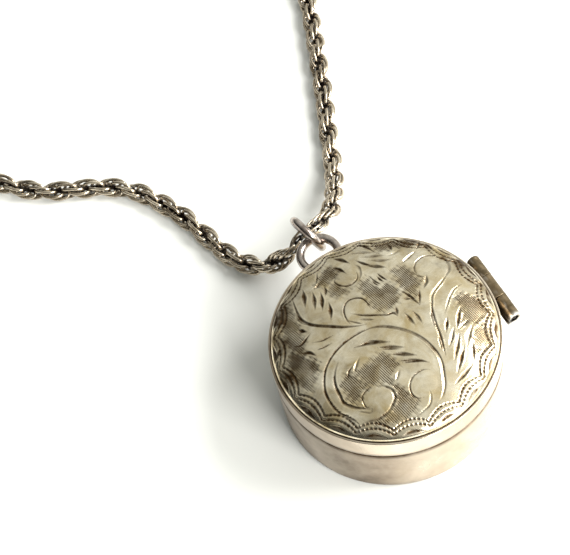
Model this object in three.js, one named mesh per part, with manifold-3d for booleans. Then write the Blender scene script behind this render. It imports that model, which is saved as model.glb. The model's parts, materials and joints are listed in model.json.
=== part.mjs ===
// Round silver pill box pendant: a hinged, domed lid on a straight-walled base, with a bail, a jump
// ring and a rope-chain necklace that ends in a bolt-ring clasp. Millimetres, +Z up. The origin is the
// centre of the base's underside, +X points at the hinge and +Y at the bail.
import * as THREE from 'three';
import { mergeVertices } from 'three/addons/utils/BufferGeometryUtils.js';
import Module from 'manifold-3d';

const wasm = await Module();
wasm.setup();

// ---- driving dimensions ----
const BOX_R = 14; // outer radius of the walls
const SEAM_Z = 8.8; // top edge of the base wall
const SEAM_GAP = 0.15; // daylight between base and closed lid
const RIM_TOP_Z = 12.2; // top of the lid's band, where the dome sits
const CORNER_R = 0.4; // rounding of the base's lower edge
const BASE_WALL_T = 0.75;
const PLATE_T = 0.7;
const COLLAR_R = 13.2; // outer radius of the strip that the lid slips over
const COLLAR_T = 0.4;
const COLLAR_TOP_Z = 9.9;
const RIM_T = 0.6;
const DOME_R = 13.65; // leaves a narrow ledge on the lid's band
const DOME_RISE = 2.7;
const DOME_T = 0.45;
const SOLDER_GAP = 0.05; // between pieces that are fitted into one another
const ROUND = 60; // segments round the box

const HINGE_X = 15.3; // hinge axis, parallel to Y at the seam's height
const BARREL_R = 0.86;
const BORE_R = 0.46;
const PIN_R = 0.4;
const BARREL_LENGTH = 9.8;
const BARREL_MID_Y = 0.3;
const LID_KNUCKLE_LENGTH = 3.3;
const KNUCKLE_GAP = 0.1;
const PIN_RECESS = 0.3; // how far the pin's ends sit inside the barrel
const BEARER_T = 0.3; // soldered strips that carry the knuckles

const BAIL_ANGLE = THREE.MathUtils.degToRad(90.5);
const BAIL_CENTRE = 16.75; // distance from the box's axis
const BAIL_Z = 7.9;
const BAIL_R = 2.45;
const BAIL_WIRE_R = 0.5;

const JUMP_CENTRE = new THREE.Vector3(0.14, 20.38, 7.7);
const JUMP_NORMAL = new THREE.Vector3(0.94, 0.208, 0.274).normalize();
const JUMP_R = 2.45;
const JUMP_WIRE_R = 0.475;

const CHAIN_R = 1.05; // envelope of the twisted links
const COIL_PITCH = 2.2; // from one turn to the next, inwards
const FACE_GAP = 0.3;

const LOOP_WIRE_R = 0.25;
const LOOP_R = 0.8;
const CAP_LENGTH = 1.6;
const CAP_R = 1.15;
const LINK_RING_R = 1.4;
const CATCH_RING_R = 1.75;
const CATCH_WIRE_R = 0.35;
const CLASP_R = 2.25; // centre line of the bolt ring's tube
const CLASP_TUBE_R = 0.75;
const CLASP_BORE_R = 0.5;
const CLASP_BOLT_R = 0.42;
const CLASP_LOOP_R = 0.85;

// The chain leaves the jump ring on two sides. These points follow its centre line to each coil.
const LEFT_ROUTE = [
  [-0.35, 20.85, 6.92], [-1, 20.7, 6.65], [-2.3, 20.55, 5.8], [-3.7, 20.8, 4.6], [-5.2, 21.6, 3.3],
  [-6.7, 23.1, 2.1], [-8.1, 25.1, 1.3], [-9.2, 27.6, 1.05], [-10, 30.5, 1.05], [-10.8, 33.6, 1.05],
  [-11.7, 36.6, 1.05], [-12.9, 39.3, 1.05], [-14.4, 42.2, 1.05], [-16.6, 45, 1.05], [-19.2, 47, 1.05],
  [-22.2, 48.6, 1.05], [-25.2, 50.2, 1.05], [-28, 52.3, 1.05], [-30.8, 55.4, 1.05], [-33, 58, 1.05],
  [-34.6, 61.6, 1.05], [-34.9, 66.5, 1.05], [-34.6, 73, 1.05], [-34, 80, 1.05], [-33.1, 87, 1.05],
  [-31.95, 95.4, 1.05],
];
const UPPER_ROUTE = [
  [0.75, 21.05, 7.1], [1.9, 21.3, 6.95], [3.4, 22.05, 6.4], [4.8, 23.3, 5.4], [6.1, 25, 4.2],
  [7.4, 27.4, 2.8], [8.8, 30.2, 1.6], [9.9, 32.7, 1.1], [10.8, 34.9, 1.05], [12.5, 38.8, 1.05],
  [14.3, 42.9, 1.05], [16, 47.1, 1.05], [17.7, 51.3, 1.05], [19.4, 55.6, 1.05], [21, 60, 1.05],
  [22.4, 64.6, 1.05], [23.5, 70, 1.05], [24.2, 76, 1.05], [24.4, 80.4, 1.05],
];
const LEFT_TAIL = [[-8.52, 101.85, 1.05], [-10.58, 101.35, 1.05], [-12.28, 101.35, 1.05]];
const UPPER_TAIL = [[17.33, 91.54, 1.05], [15.23, 92.07, 1.05], [13.53, 92.07, 1.05]];
// startR is the chain's centre line on the outermost turn.
const LEFT_COIL = { centre: [-17, 103.6], startR: 14.41, turns: 1.413 };
const UPPER_COIL = { centre: [10.6, 89.4], startR: 13.75, turns: 1.94 };

// ---- materials ----
function silver(name, colour, roughness) {
  return new THREE.MeshStandardMaterial({ name, color: colour, roughness, metalness: 1 });
}
const wallSilver = silver('wall_silver', 0xd8c8b4, 0.35);
const domeSilver = silver('dome_silver', 0xc2b694, 0.3);
const hingeSilver = silver('hinge_silver', 0x6f6148, 0.4);
const insideSilver = silver('inside_silver', 0xd9d4c8, 0.4);
const wireSilver = silver('wire_silver', 0x9d9186, 0.3);
const chainSilver = silver('chain_silver', 0xa8a294, 0.3);
const springSteel = silver('spring_steel', 0x8c8f93, 0.35);

// ---- geometry helpers ----
// Turns a closed (radius, height) outline about the Z axis.
function revolve(outline, segments = ROUND) {
  const points = outline.map(([r, z]) => new THREE.Vector2(r, z));
  return new THREE.LatheGeometry(points, segments).rotateX(Math.PI / 2);
}

function arcPoints(centreR, centreZ, radius, fromDeg, toDeg, steps) {
  return Array.from({ length: steps + 1 }, (_, i) => {
    const angle = THREE.MathUtils.degToRad(fromDeg + ((toDeg - fromDeg) * i) / steps);
    return [centreR + radius * Math.cos(angle), centreZ + radius * Math.sin(angle)];
  });
}

// A flat-lying ring of round wire.
function wireRing(radius, wireR, segments = 24, sides = 8) {
  return revolve(arcPoints(radius, 0, wireR, -180, 180, sides), segments);
}

function circleShape(radius) {
  return new THREE.Shape().absarc(0, 0, radius, 0, Math.PI * 2, false);
}

function tubeAlong(curve, radius, steps, sides) {
  return new THREE.ExtrudeGeometry(circleShape(radius), {
    steps,
    curveSegments: sides,
    bevelEnabled: false,
    extrudePath: curve,
  });
}

class ArcCurve extends THREE.Curve {
  constructor(radius, fromDeg, toDeg) {
    super();
    this.radius = radius;
    this.from = THREE.MathUtils.degToRad(fromDeg);
    this.to = THREE.MathUtils.degToRad(toDeg);
  }

  getPoint(t, target = new THREE.Vector3()) {
    const angle = this.from + (this.to - this.from) * t;
    return target.set(this.radius * Math.cos(angle), this.radius * Math.sin(angle), 0);
  }
}

// A flat sector of a ring, between two radii and two angles, centred on z = 0.
function ringSector(innerR, outerR, height, fromDeg, toDeg) {
  const from = THREE.MathUtils.degToRad(fromDeg);
  const to = THREE.MathUtils.degToRad(toDeg);
  const shape = new THREE.Shape().absarc(0, 0, outerR, from, to, false);
  shape.absarc(0, 0, innerR, to, from, true);
  const options = { depth: height, curveSegments: 6, bevelEnabled: false };
  return new THREE.ExtrudeGeometry(shape, options).translate(0, 0, -height / 2);
}

function box(sizeX, sizeY, sizeZ, x, y, z) {
  return new THREE.BoxGeometry(sizeX, sizeY, sizeZ).translate(x, y, z);
}

// A cylinder whose axis is parallel to Y.
function cylinderY(radius, length, x, y, z, sides = 20) {
  return new THREE.CylinderGeometry(radius, radius, length, sides).translate(x, y, z);
}

function solid(geometry) {
  const plain = geometry.clone();
  plain.deleteAttribute('normal');
  plain.deleteAttribute('uv');
  const merged = mergeVertices(plain, 1e-5);
  return new wasm.Manifold(new wasm.Mesh({
    numProp: 3,
    vertProperties: merged.attributes.position.array,
    triVerts: new Uint32Array(merged.index.array),
  }));
}

function geometryOf(manifold) {
  const { vertProperties, triVerts } = manifold.getMesh();
  const geometry = new THREE.BufferGeometry();
  geometry.setAttribute('position', new THREE.BufferAttribute(vertProperties, 3));
  geometry.setIndex(new THREE.BufferAttribute(triVerts, 1));
  geometry.computeVertexNormals();
  return geometry;
}

function mesh(name, geometry, material) {
  const piece = new THREE.Mesh(geometry, material);
  piece.name = name;
  return piece;
}

// ---- base ----
function makeBaseWall() {
  const innerR = BOX_R - BASE_WALL_T;
  const outline = [
    [innerR, 0],
    ...arcPoints(BOX_R - CORNER_R, CORNER_R, CORNER_R, -90, 0, 3),
    [BOX_R, SEAM_Z],
    [innerR, SEAM_Z],
    [innerR, 0],
  ];
  return mesh('base_wall', revolve(outline), wallSilver);
}

function makeBasePlate() {
  const radius = BOX_R - BASE_WALL_T - SOLDER_GAP;
  return mesh('base_plate', revolve([[0, 0], [radius, 0], [radius, PLATE_T], [0, PLATE_T]]), insideSilver);
}

function makeInnerCollar() {
  const innerR = COLLAR_R - COLLAR_T;
  const foot = PLATE_T;
  const outline = [
    [innerR, foot],
    [COLLAR_R, foot],
    [COLLAR_R, COLLAR_TOP_Z - 0.15],
    [COLLAR_R - 0.15, COLLAR_TOP_Z],
    [innerR, COLLAR_TOP_Z],
    [innerR, foot],
  ];
  return mesh('inner_collar', revolve(outline), insideSilver);
}

// ---- lid ----
function makeLidRim() {
  const innerR = BOX_R - RIM_T;
  const bottom = SEAM_Z + SEAM_GAP;
  const outline = [
    [innerR, bottom],
    [BOX_R, bottom],
    ...arcPoints(BOX_R - 0.15, RIM_TOP_Z - 0.15, 0.15, 0, 90, 1),
    [innerR, RIM_TOP_Z],
    [innerR, bottom],
  ];
  return mesh('lid_rim', revolve(outline), wallSilver);
}

// Quarter-ellipse shell: steep at its edge, nearly flat on top.
function makeLidDome() {
  const rings = 7;
  const profile = (radius, rise) => Array.from({ length: rings + 1 }, (_, i) => {
    const angle = (Math.PI / 2) * (i / rings);
    return [radius * Math.cos(angle), RIM_TOP_Z + rise * Math.sin(angle)];
  });
  const outer = profile(DOME_R, DOME_RISE);
  const inner = profile(DOME_R - DOME_T, DOME_RISE - DOME_T).reverse();
  outer[rings][0] = 0;
  inner[0][0] = 0;
  return mesh('lid_dome', revolve([...inner, ...outer]), domeSilver);
}

// ---- hinge ----
function knuckle(name, fromY, toY, footZ, footHeight) {
  const length = toY - fromY;
  const midY = (fromY + toY) / 2;
  const footX = BOX_R + BEARER_T + SOLDER_GAP;
  const footDepth = HINGE_X - footX;
  const foot = box(footDepth, length, footHeight, footX + footDepth / 2, midY, footZ);
  const bore = solid(cylinderY(BORE_R, length + 1, HINGE_X, midY, SEAM_Z));
  const body = solid(cylinderY(BARREL_R, length, HINGE_X, midY, SEAM_Z)).add(solid(foot)).subtract(bore);
  return mesh(name, geometryOf(body), hingeSilver);
}

// A strip soldered to the outside of a wall, cut to the wall's curve.
function bearer(name, halfWidth, fromZ, toZ) {
  const strip = box(2.4, 2 * halfWidth, toZ - fromZ, BOX_R + BEARER_T - 1.2, BARREL_MID_Y, (fromZ + toZ) / 2);
  const wall = revolve([[0, 0], [BOX_R + SOLDER_GAP, 0], [BOX_R + SOLDER_GAP, 20], [0, 20]]);
  return mesh(name, geometryOf(solid(strip).subtract(solid(wall))), hingeSilver);
}

function makeHinge() {
  const half = BARREL_LENGTH / 2;
  const lidHalf = LID_KNUCKLE_LENGTH / 2;
  const footZ = 0.5; // how far each foot's middle is from the axis
  const footHeight = 0.7;
  const pinLength = BARREL_LENGTH - 2 * PIN_RECESS;
  return {
    base: [
      knuckle('hinge_knuckle_front', BARREL_MID_Y - half, BARREL_MID_Y - lidHalf - KNUCKLE_GAP,
        SEAM_Z - footZ, footHeight),
      knuckle('hinge_knuckle_back', BARREL_MID_Y + lidHalf + KNUCKLE_GAP, BARREL_MID_Y + half,
        SEAM_Z - footZ, footHeight),
      bearer('base_hinge_bearer', 3.4, SEAM_Z - 1.5, SEAM_Z - 0.15),
      mesh('hinge_pin', cylinderY(PIN_R, pinLength, HINGE_X, BARREL_MID_Y, SEAM_Z), wireSilver),
    ],
    lid: [
      knuckle('hinge_knuckle_lid', BARREL_MID_Y - lidHalf, BARREL_MID_Y + lidHalf,
        SEAM_Z + footZ, footHeight),
      bearer('lid_hinge_bearer', lidHalf, SEAM_Z + 0.25, SEAM_Z + 1.5),
    ],
  };
}

// ---- bail and jump ring ----
function makeBail() {
  const x = BAIL_CENTRE * Math.cos(BAIL_ANGLE);
  const y = BAIL_CENTRE * Math.sin(BAIL_ANGLE);
  const ring = wireRing(BAIL_R, BAIL_WIRE_R).translate(x, y, BAIL_Z);
  const wall = revolve([[0, 0], [BOX_R + SOLDER_GAP, 0], [BOX_R + SOLDER_GAP, 20], [0, 20]]);
  return mesh('bail', geometryOf(solid(ring).subtract(solid(wall))), wireSilver);
}

function makeJumpRing() {
  const ring = mesh('jump_ring', wireRing(JUMP_R, JUMP_WIRE_R, 28, 8), wireSilver);
  ring.quaternion.setFromUnitVectors(new THREE.Vector3(0, 0, 1), JUMP_NORMAL);
  ring.position.copy(JUMP_CENTRE);
  return ring;
}

// ---- chain ----
function chainTube(name, points, steps) {
  const curve = new THREE.CatmullRomCurve3(points.map((p) => new THREE.Vector3(...p)), false, 'centripetal');
  return mesh(name, tubeAlong(curve, CHAIN_R, steps, 8), chainSilver);
}

// The outer shape of a flat coil, one layer deep.
function chainCoil(name, { centre, startR, turns }) {
  const outerR = startR + CHAIN_R;
  const innerR = startR - COIL_PITCH * turns - CHAIN_R;
  const outline = [[innerR, 0], [outerR, 0], [outerR, 2 * CHAIN_R], [innerR, 2 * CHAIN_R], [innerR, 0]];
  return mesh(name, revolve(outline, 40).translate(centre[0], centre[1], 0), chainSilver);
}

// ---- end fittings ----
// Each fitting is built along +X from the chain's end, on z = 0 as the chain's middle, then turned
// to run towards -X.
function capGeometry(loopUpright) {
  const outline = [[0, 0], [CAP_R, 0], [CAP_R, CAP_LENGTH - 0.5], [0.6, CAP_LENGTH], [0, CAP_LENGTH]];
  const cup = revolve(outline, 20).rotateY(Math.PI / 2).translate(FACE_GAP, 0, 0);
  const loop = wireRing(LOOP_R, LOOP_WIRE_R, 16, 6);
  if (loopUpright) loop.rotateX(Math.PI / 2);
  loop.translate(FACE_GAP + CAP_LENGTH + LOOP_R, 0, 0);
  return geometryOf(solid(cup).add(solid(loop)));
}

function makeUpperEnd() {
  const end = new THREE.Group();
  end.position.set(...UPPER_TAIL[UPPER_TAIL.length - 1]);
  end.rotation.z = Math.PI;
  end.add(mesh('upper_end_cap', capGeometry(true), wireSilver));
  const holeX = FACE_GAP + CAP_LENGTH + LOOP_R;
  const tilt = Math.asin((CHAIN_R - CATCH_WIRE_R) / (2 * CATCH_RING_R));
  const ring = mesh('catch_ring', wireRing(CATCH_RING_R, CATCH_WIRE_R, 20, 6), wireSilver);
  ring.rotation.y = tilt;
  ring.position.set(holeX + CATCH_RING_R * Math.cos(tilt), 0, -CATCH_RING_R * Math.sin(tilt));
  end.add(ring);
  return end;
}

const CLASP_BACK = 180; // angle of the clasp's loop, seen from its centre
const GAP_FROM = 25; // the opening that the bolt closes
const GAP_TO = 65;
const BOLT_SEAT = 5; // how far the bolt's tip enters the fixed end
const BOLT_INNER_END = 112;
const SPRING_SEAT = 205;
const LUG_ANGLE = 90;
const BOLT_TRAVEL = 46;

function arcRod(radius, fromDeg, toDeg, steps, sides = 8) {
  return solid(tubeAlong(new ArcCurve(CLASP_R, fromDeg, toDeg), radius, steps, sides));
}

function makeClaspBody() {
  const slot = ringSector(CLASP_R, CLASP_R + 1, 0.44, LUG_ANGLE - 6, LUG_ANGLE + BOLT_TRAVEL + 7);
  const loop = wireRing(CLASP_LOOP_R, LOOP_WIRE_R, 16, 6)
    .translate(-(CLASP_R + CLASP_TUBE_R + CLASP_LOOP_R - 0.15), 0, 0);
  const body = arcRod(CLASP_TUBE_R, GAP_TO, 360 + GAP_FROM, 26)
    .subtract(arcRod(CLASP_BORE_R, GAP_TO - 2, SPRING_SEAT, 12))
    .subtract(arcRod(CLASP_BORE_R, 360 + GAP_FROM - BOLT_SEAT - 2, 360 + GAP_FROM + 2, 3))
    .subtract(solid(slot))
    .add(solid(loop));
  return mesh('clasp_body', geometryOf(body), wireSilver);
}

function makeClaspBolt() {
  const lug = ringSector(CLASP_R, CLASP_R + 1.2, 0.34, LUG_ANGLE - 3, LUG_ANGLE + 3);
  const knob = new THREE.SphereGeometry(0.32, 8, 6).translate(0, CLASP_R + 1.25, 0);
  const rod = arcRod(CLASP_BOLT_R, GAP_FROM - BOLT_SEAT, BOLT_INNER_END, 8);
  return mesh('clasp_bolt', geometryOf(rod.add(solid(lug)).add(solid(knob))), wireSilver);
}

class ArcHelix extends ArcCurve {
  constructor(radius, fromDeg, toDeg, coilR, turns) {
    super(radius, fromDeg, toDeg);
    this.coilR = coilR;
    this.turns = turns;
  }

  getPoint(t, target = new THREE.Vector3()) {
    const angle = this.from + (this.to - this.from) * t;
    const phase = 2 * Math.PI * this.turns * t;
    const r = this.radius + this.coilR * Math.cos(phase);
    return target.set(r * Math.cos(angle), r * Math.sin(angle), this.coilR * Math.sin(phase));
  }
}

function makeClaspSpring() {
  const helix = new ArcHelix(CLASP_R, BOLT_INNER_END + 4, SPRING_SEAT - 4, 0.33, 5);
  return mesh('clasp_spring', tubeAlong(helix, 0.07, 50, 4), springSteel);
}

// The left end: cap, standing link ring, then the bolt ring lying flat.
function makeLeftEnd() {
  const end = new THREE.Group();
  end.position.set(...LEFT_TAIL[LEFT_TAIL.length - 1]);
  end.rotation.z = Math.PI;
  end.add(mesh('left_end_cap', capGeometry(false), wireSilver));

  const linkZ = LINK_RING_R + LOOP_WIRE_R - CHAIN_R;
  const claspZ = CLASP_TUBE_R - CHAIN_R;
  const capHoleX = FACE_GAP + CAP_LENGTH + LOOP_R;
  const linkX = capHoleX + Math.sqrt(LINK_RING_R ** 2 - linkZ ** 2);
  const link = mesh('left_link_ring', wireRing(LINK_RING_R, LOOP_WIRE_R, 20, 6), wireSilver);
  link.rotation.x = Math.PI / 2;
  link.position.set(linkX, 0, linkZ);
  end.add(link);

  const clasp = new THREE.Group();
  const claspHoleX = linkX + Math.sqrt(LINK_RING_R ** 2 - (linkZ - claspZ) ** 2);
  clasp.position.set(claspHoleX + CLASP_R + CLASP_TUBE_R + CLASP_LOOP_R - 0.15, 0, claspZ);
  clasp.add(makeClaspBody(), makeClaspBolt(), makeClaspSpring());
  end.add(clasp);
  return end;
}

// ---- assembly ----
const hinge = makeHinge();
const part = new THREE.Group();
part.add(makeBaseWall(), makeBasePlate(), makeInnerCollar(), ...hinge.base, makeBail());
part.add(makeLidRim(), makeLidDome(), ...hinge.lid);
part.add(makeJumpRing());
part.add(chainTube('chain_left_run', LEFT_ROUTE, 44), chainTube('chain_upper_run', UPPER_ROUTE, 34));
part.add(chainCoil('chain_left_coil', LEFT_COIL), chainCoil('chain_upper_coil', UPPER_COIL));
part.add(chainTube('chain_left_tail', LEFT_TAIL, 3), chainTube('chain_upper_tail', UPPER_TAIL, 3));
part.add(makeLeftEnd(), makeUpperEnd());

export default part;
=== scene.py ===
"""A round, hand-engraved silver pill box pendant on its rope-chain necklace, dressed around its CAD frame."""

import json
import math

import bpy
import numpy as np
from mathutils import Matrix, Vector


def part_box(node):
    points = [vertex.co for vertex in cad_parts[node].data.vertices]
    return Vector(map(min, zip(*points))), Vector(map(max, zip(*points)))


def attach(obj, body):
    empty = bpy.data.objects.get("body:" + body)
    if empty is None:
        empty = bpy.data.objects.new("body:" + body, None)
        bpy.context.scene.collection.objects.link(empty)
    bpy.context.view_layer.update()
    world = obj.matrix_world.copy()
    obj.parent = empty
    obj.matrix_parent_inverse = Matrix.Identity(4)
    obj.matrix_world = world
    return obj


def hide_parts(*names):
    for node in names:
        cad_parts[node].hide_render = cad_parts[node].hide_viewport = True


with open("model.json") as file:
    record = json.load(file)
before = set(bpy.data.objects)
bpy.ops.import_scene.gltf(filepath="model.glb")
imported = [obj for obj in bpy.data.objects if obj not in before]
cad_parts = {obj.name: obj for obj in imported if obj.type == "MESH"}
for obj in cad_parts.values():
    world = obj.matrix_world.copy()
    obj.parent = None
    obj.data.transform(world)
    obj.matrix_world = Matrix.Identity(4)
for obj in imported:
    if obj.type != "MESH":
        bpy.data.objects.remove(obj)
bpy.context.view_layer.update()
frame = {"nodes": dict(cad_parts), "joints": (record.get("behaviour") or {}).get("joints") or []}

MM = 0.001  # the object's lengths below are in millimetres until they reach a mesh


def box_mm(node):
    """A node's lowest and highest corners, in millimetres."""
    low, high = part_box(node)
    return np.array(low) / MM, np.array(high) / MM


def joint(name):
    return next(j for j in frame["joints"] if j["name"] == name)


def add_object(name, data):
    item = bpy.data.objects.new(name, data)
    bpy.context.scene.collection.objects.link(item)
    return item


def unit(vector):
    return vector / np.linalg.norm(vector)


def round_angles(count):
    """Evenly spaced angles, once round."""
    return np.linspace(0, 2 * math.pi, count, endpoint=False)


def lengths_along(points):
    """How far along a line each of its points lies."""
    return np.concatenate([[0], np.cumsum(np.linalg.norm(np.diff(points, axis=0), axis=1))])


def bell(value, middle, width):
    """1 at the middle, falling away smoothly on both sides."""
    return np.exp(-((value - middle) / width) ** 2)


# ---- sizes, from the frame ----
BOX_R = box_mm("base_wall")[1][0]
SEAM_Z = box_mm("base_wall")[1][2]
RIM_BOTTOM_Z, RIM_TOP_Z = box_mm("lid_rim")[0][2], box_mm("lid_rim")[1][2]
DOME_R, DOME_TOP_Z = box_mm("lid_dome")[1][0], box_mm("lid_dome")[1][2]
DOME_RISE = DOME_TOP_Z - RIM_TOP_Z
PLATE_R, PLATE_TOP_Z = box_mm("base_plate")[1][0], box_mm("base_plate")[1][2]
COLLAR_R, COLLAR_TOP_Z = box_mm("inner_collar")[1][0], box_mm("inner_collar")[1][2]
HINGE_X = joint("lid_hinge")["pos_m"][0] / MM
HINGE_Z = joint("lid_hinge")["pos_m"][2] / MM
BARREL_R = box_mm("hinge_knuckle_front")[1][0] - HINGE_X
BAIL_LOW, BAIL_HIGH = box_mm("bail")
BAIL_WIRE_R = (BAIL_HIGH[2] - BAIL_LOW[2]) / 2
BAIL_R = (BAIL_HIGH[0] - BAIL_LOW[0]) / 2 - BAIL_WIRE_R
BAIL_CENTRE = (BAIL_LOW + BAIL_HIGH) / 2
BAIL_CENTRE[1] = BAIL_HIGH[1] - BAIL_R - BAIL_WIRE_R  # the wall cuts the ring off on its other side
JUMP_LOW, JUMP_HIGH = box_mm("jump_ring")
JUMP_CENTRE = (JUMP_LOW + JUMP_HIGH) / 2
JUMP_NORMAL = np.array(joint("jump_ring_swing")["axis"])
CLASP_CENTRE = np.array(joint("clasp_bolt_slide")["pos_m"]) / MM

# ---- sizes that the frame doesn't hold ----
BASE_WALL_T = 0.75
RIM_T = 0.6
DOME_T = 0.45
COLLAR_T = 0.4
BORE_R = 0.46
PIN_R = 0.4
KNUCKLE_REACH = 0.03  # how far a knuckle stands out of its CAD solid towards its neighbour
JUMP_R = 2.45
JUMP_WIRE_R = 0.475
CHAIN_R = 1.05
COIL_PITCH = 2.2
PATH_STEP = 0.25

# ---- the chain's route, as the CAD has it ----
LEFT_ROUTE = [
    (-0.35, 20.85, 6.92), (-1, 20.7, 6.65), (-2.3, 20.55, 5.8), (-3.7, 20.8, 4.6), (-5.2, 21.6, 3.3),
    (-6.7, 23.1, 2.1), (-8.1, 25.1, 1.3), (-9.2, 27.6, 1.05), (-10, 30.5, 1.05), (-10.8, 33.6, 1.05),
    (-11.7, 36.6, 1.05), (-12.9, 39.3, 1.05), (-14.4, 42.2, 1.05), (-16.6, 45, 1.05), (-19.2, 47, 1.05),
    (-22.2, 48.6, 1.05), (-25.2, 50.2, 1.05), (-28, 52.3, 1.05), (-30.8, 55.4, 1.05), (-33, 58, 1.05),
    (-34.6, 61.6, 1.05), (-34.9, 66.5, 1.05), (-34.6, 73, 1.05), (-34, 80, 1.05), (-33.1, 87, 1.05),
    (-31.95, 95.4, 1.05),
]
UPPER_ROUTE = [
    (0.75, 21.05, 7.1), (1.9, 21.3, 6.95), (3.4, 22.05, 6.4), (4.8, 23.3, 5.4), (6.1, 25, 4.2),
    (7.4, 27.4, 2.8), (8.8, 30.2, 1.6), (9.9, 32.7, 1.1), (10.8, 34.9, 1.05), (12.5, 38.8, 1.05),
    (14.3, 42.9, 1.05), (16, 47.1, 1.05), (17.7, 51.3, 1.05), (19.4, 55.6, 1.05), (21, 60, 1.05),
    (22.4, 64.6, 1.05), (23.5, 70, 1.05), (24.2, 76, 1.05), (24.4, 80.4, 1.05),
]
LEFT_TAIL = [(-6.13, 105.22, 1.05), (-6.91, 103.24, 1.05), (-8.52, 101.85, 1.05), (-10.58, 101.35, 1.05),
             (-12.28, 101.35, 1.05)]
UPPER_TAIL = [(19.7, 88.06, 1.05), (18.95, 90.1, 1.05), (17.33, 91.54, 1.05), (15.23, 92.07, 1.05),
              (13.53, 92.07, 1.05)]
CROSSING = (0.2, 20.93, 7.05)  # where the chain passes through the jump ring


def coil(centre, start_r, start_deg, turns, way):
    """Points of a flat coil that winds inwards; way is 1 for counter-clockwise and -1 for clockwise."""
    steps = round(24 * turns)
    points = []
    for i in range(steps + 1):
        turned = turns * i / steps
        radius = start_r - COIL_PITCH * turned
        angle = math.radians(start_deg) + way * 2 * math.pi * turned
        points.append((centre[0] + radius * math.cos(angle), centre[1] + radius * math.sin(angle), CHAIN_R))
    return points


def smooth_path(points, spacing):
    """A Catmull-Rom curve through the points, with evenly spaced points on it."""
    p = np.array(points, float)
    p = np.vstack([2 * p[0] - p[1], p, 2 * p[-1] - p[-2]])
    t = np.linspace(0, 1, 16, endpoint=False)[:, None]
    spans = []
    for a, b, c, d in zip(p[:-3], p[1:-2], p[2:-1], p[3:]):
        spans.append(0.5 * (2 * b + (c - a) * t + (2 * a - 5 * b + 4 * c - d) * t ** 2
                            + (3 * b - a - 3 * c + d) * t ** 3))
    fine = np.vstack(spans + [p[-2:-1]])
    along = lengths_along(fine)
    wanted = np.linspace(0, along[-1], max(2, round(along[-1] / spacing) + 1))
    return np.stack([np.interp(wanted, along, fine[:, k]) for k in range(3)], 1)


LEFT_COIL = coil(centre=(-17, 103.6), start_r=14.41, start_deg=168, turns=1.413, way=-1)
UPPER_COIL = coil(centre=(10.6, 89.4), start_r=13.75, start_deg=0, turns=1.94, way=1)
LEFT_PATH = smooth_path([CROSSING] + LEFT_ROUTE + LEFT_COIL + LEFT_TAIL, PATH_STEP)
UPPER_PATH = smooth_path([CROSSING] + UPPER_ROUTE + UPPER_COIL + UPPER_TAIL, PATH_STEP)


# ---- camera ----
def make_camera():
    """Looks down on the box from the front left, with a long lens."""
    place = Vector((-31.99, -78.20, 169.97)) * MM
    right = Vector((0.87159, -0.47206, -0.13226))
    up = Vector((0.46982, 0.72727, 0.50035))
    data = bpy.data.cameras.new("camera")
    data.sensor_width = 36
    data.lens = 94.74
    data.clip_start = 0.005
    camera = add_object("camera", data)
    camera.matrix_world = (Matrix.Translation(place)
                           @ Matrix((right, up, right.cross(up))).transposed().to_4x4())
    bpy.context.scene.camera = camera


make_camera()


# ---- materials ----
def set_input(tree, socket, value):
    """Gives a socket a value, or a link from another node's output."""
    if isinstance(value, bpy.types.NodeSocket):
        tree.links.new(value, socket)
    else:
        socket.default_value = value


def new_node(tree, kind, **inputs):
    """A node with its inputs set by name; an underscore stands for a space in the name."""
    node = tree.nodes.new(kind)
    for label, value in inputs.items():
        set_input(tree, node.inputs[label.replace("_", " ")], value)
    return node


class Nodes:
    """Short calls for a material's nodes."""

    def __init__(self, name):
        self.material = bpy.data.materials.new(name)
        self.material.use_nodes = True
        self.tree = self.material.node_tree
        self.tree.nodes.clear()
        self.shader = self.node("ShaderNodeBsdfPrincipled")
        self.node("ShaderNodeOutputMaterial", Surface=self.shader.outputs["BSDF"])
        self.place = self.node("ShaderNodeTexCoord").outputs["Object"]

    def node(self, kind, **inputs):
        return new_node(self.tree, kind, **inputs)

    def to_shader(self, label, value):
        set_input(self.tree, self.shader.inputs[label], value)

    def noise(self, scale, detail=3.0, rough=0.55, stretch=(1, 1, 1), distortion=0.0):
        place = self.node("ShaderNodeMapping", Vector=self.place, Scale=stretch).outputs["Vector"]
        return self.node("ShaderNodeTexNoise", Vector=place, Scale=scale, Detail=detail, Roughness=rough,
                         Distortion=distortion).outputs["Fac"]

    def wave(self, scale, direction_deg, distortion):
        turn = (0, 0, math.radians(direction_deg))
        place = self.node("ShaderNodeMapping", Vector=self.place, Rotation=turn).outputs["Vector"]
        bands = self.node("ShaderNodeTexWave", Vector=place, Scale=scale, Distortion=distortion, Detail=1.0)
        bands.wave_type = "BANDS"
        return bands.outputs["Fac"]

    def attribute(self, name):
        node = self.node("ShaderNodeAttribute")
        node.attribute_name = name
        return node.outputs["Fac"]

    def math(self, operation, a, b):
        node = self.node("ShaderNodeMath")
        node.operation = operation
        set_input(self.tree, node.inputs[0], a)
        set_input(self.tree, node.inputs[1], b)
        return node.outputs[0]

    def spread(self, value, low, high, to_low=0.0, to_high=1.0):
        return self.node("ShaderNodeMapRange", Value=value, From_Min=low, From_Max=high, To_Min=to_low,
                         To_Max=to_high).outputs["Result"]

    def mix(self, factor, a, b):
        """Mixes two colours, each an (r, g, b) or another node's output."""
        node = self.node("ShaderNodeMix")
        node.data_type = "RGBA"
        for label, value in (("Factor", factor), ("A", a), ("B", b)):
            set_input(self.tree, node.inputs[label], (*value, 1) if isinstance(value, tuple) else value)
        return node.outputs["Result"]

    def bump(self, height, strength, distance_mm):
        node = self.node("ShaderNodeBump", Strength=strength, Distance=distance_mm * MM, Height=height)
        self.to_shader("Normal", node.outputs["Normal"])


POLISHED = (0.84, 0.80, 0.74)  # silver that handling has rubbed clean
SULPHIDE = (0.045, 0.034, 0.022)


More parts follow.
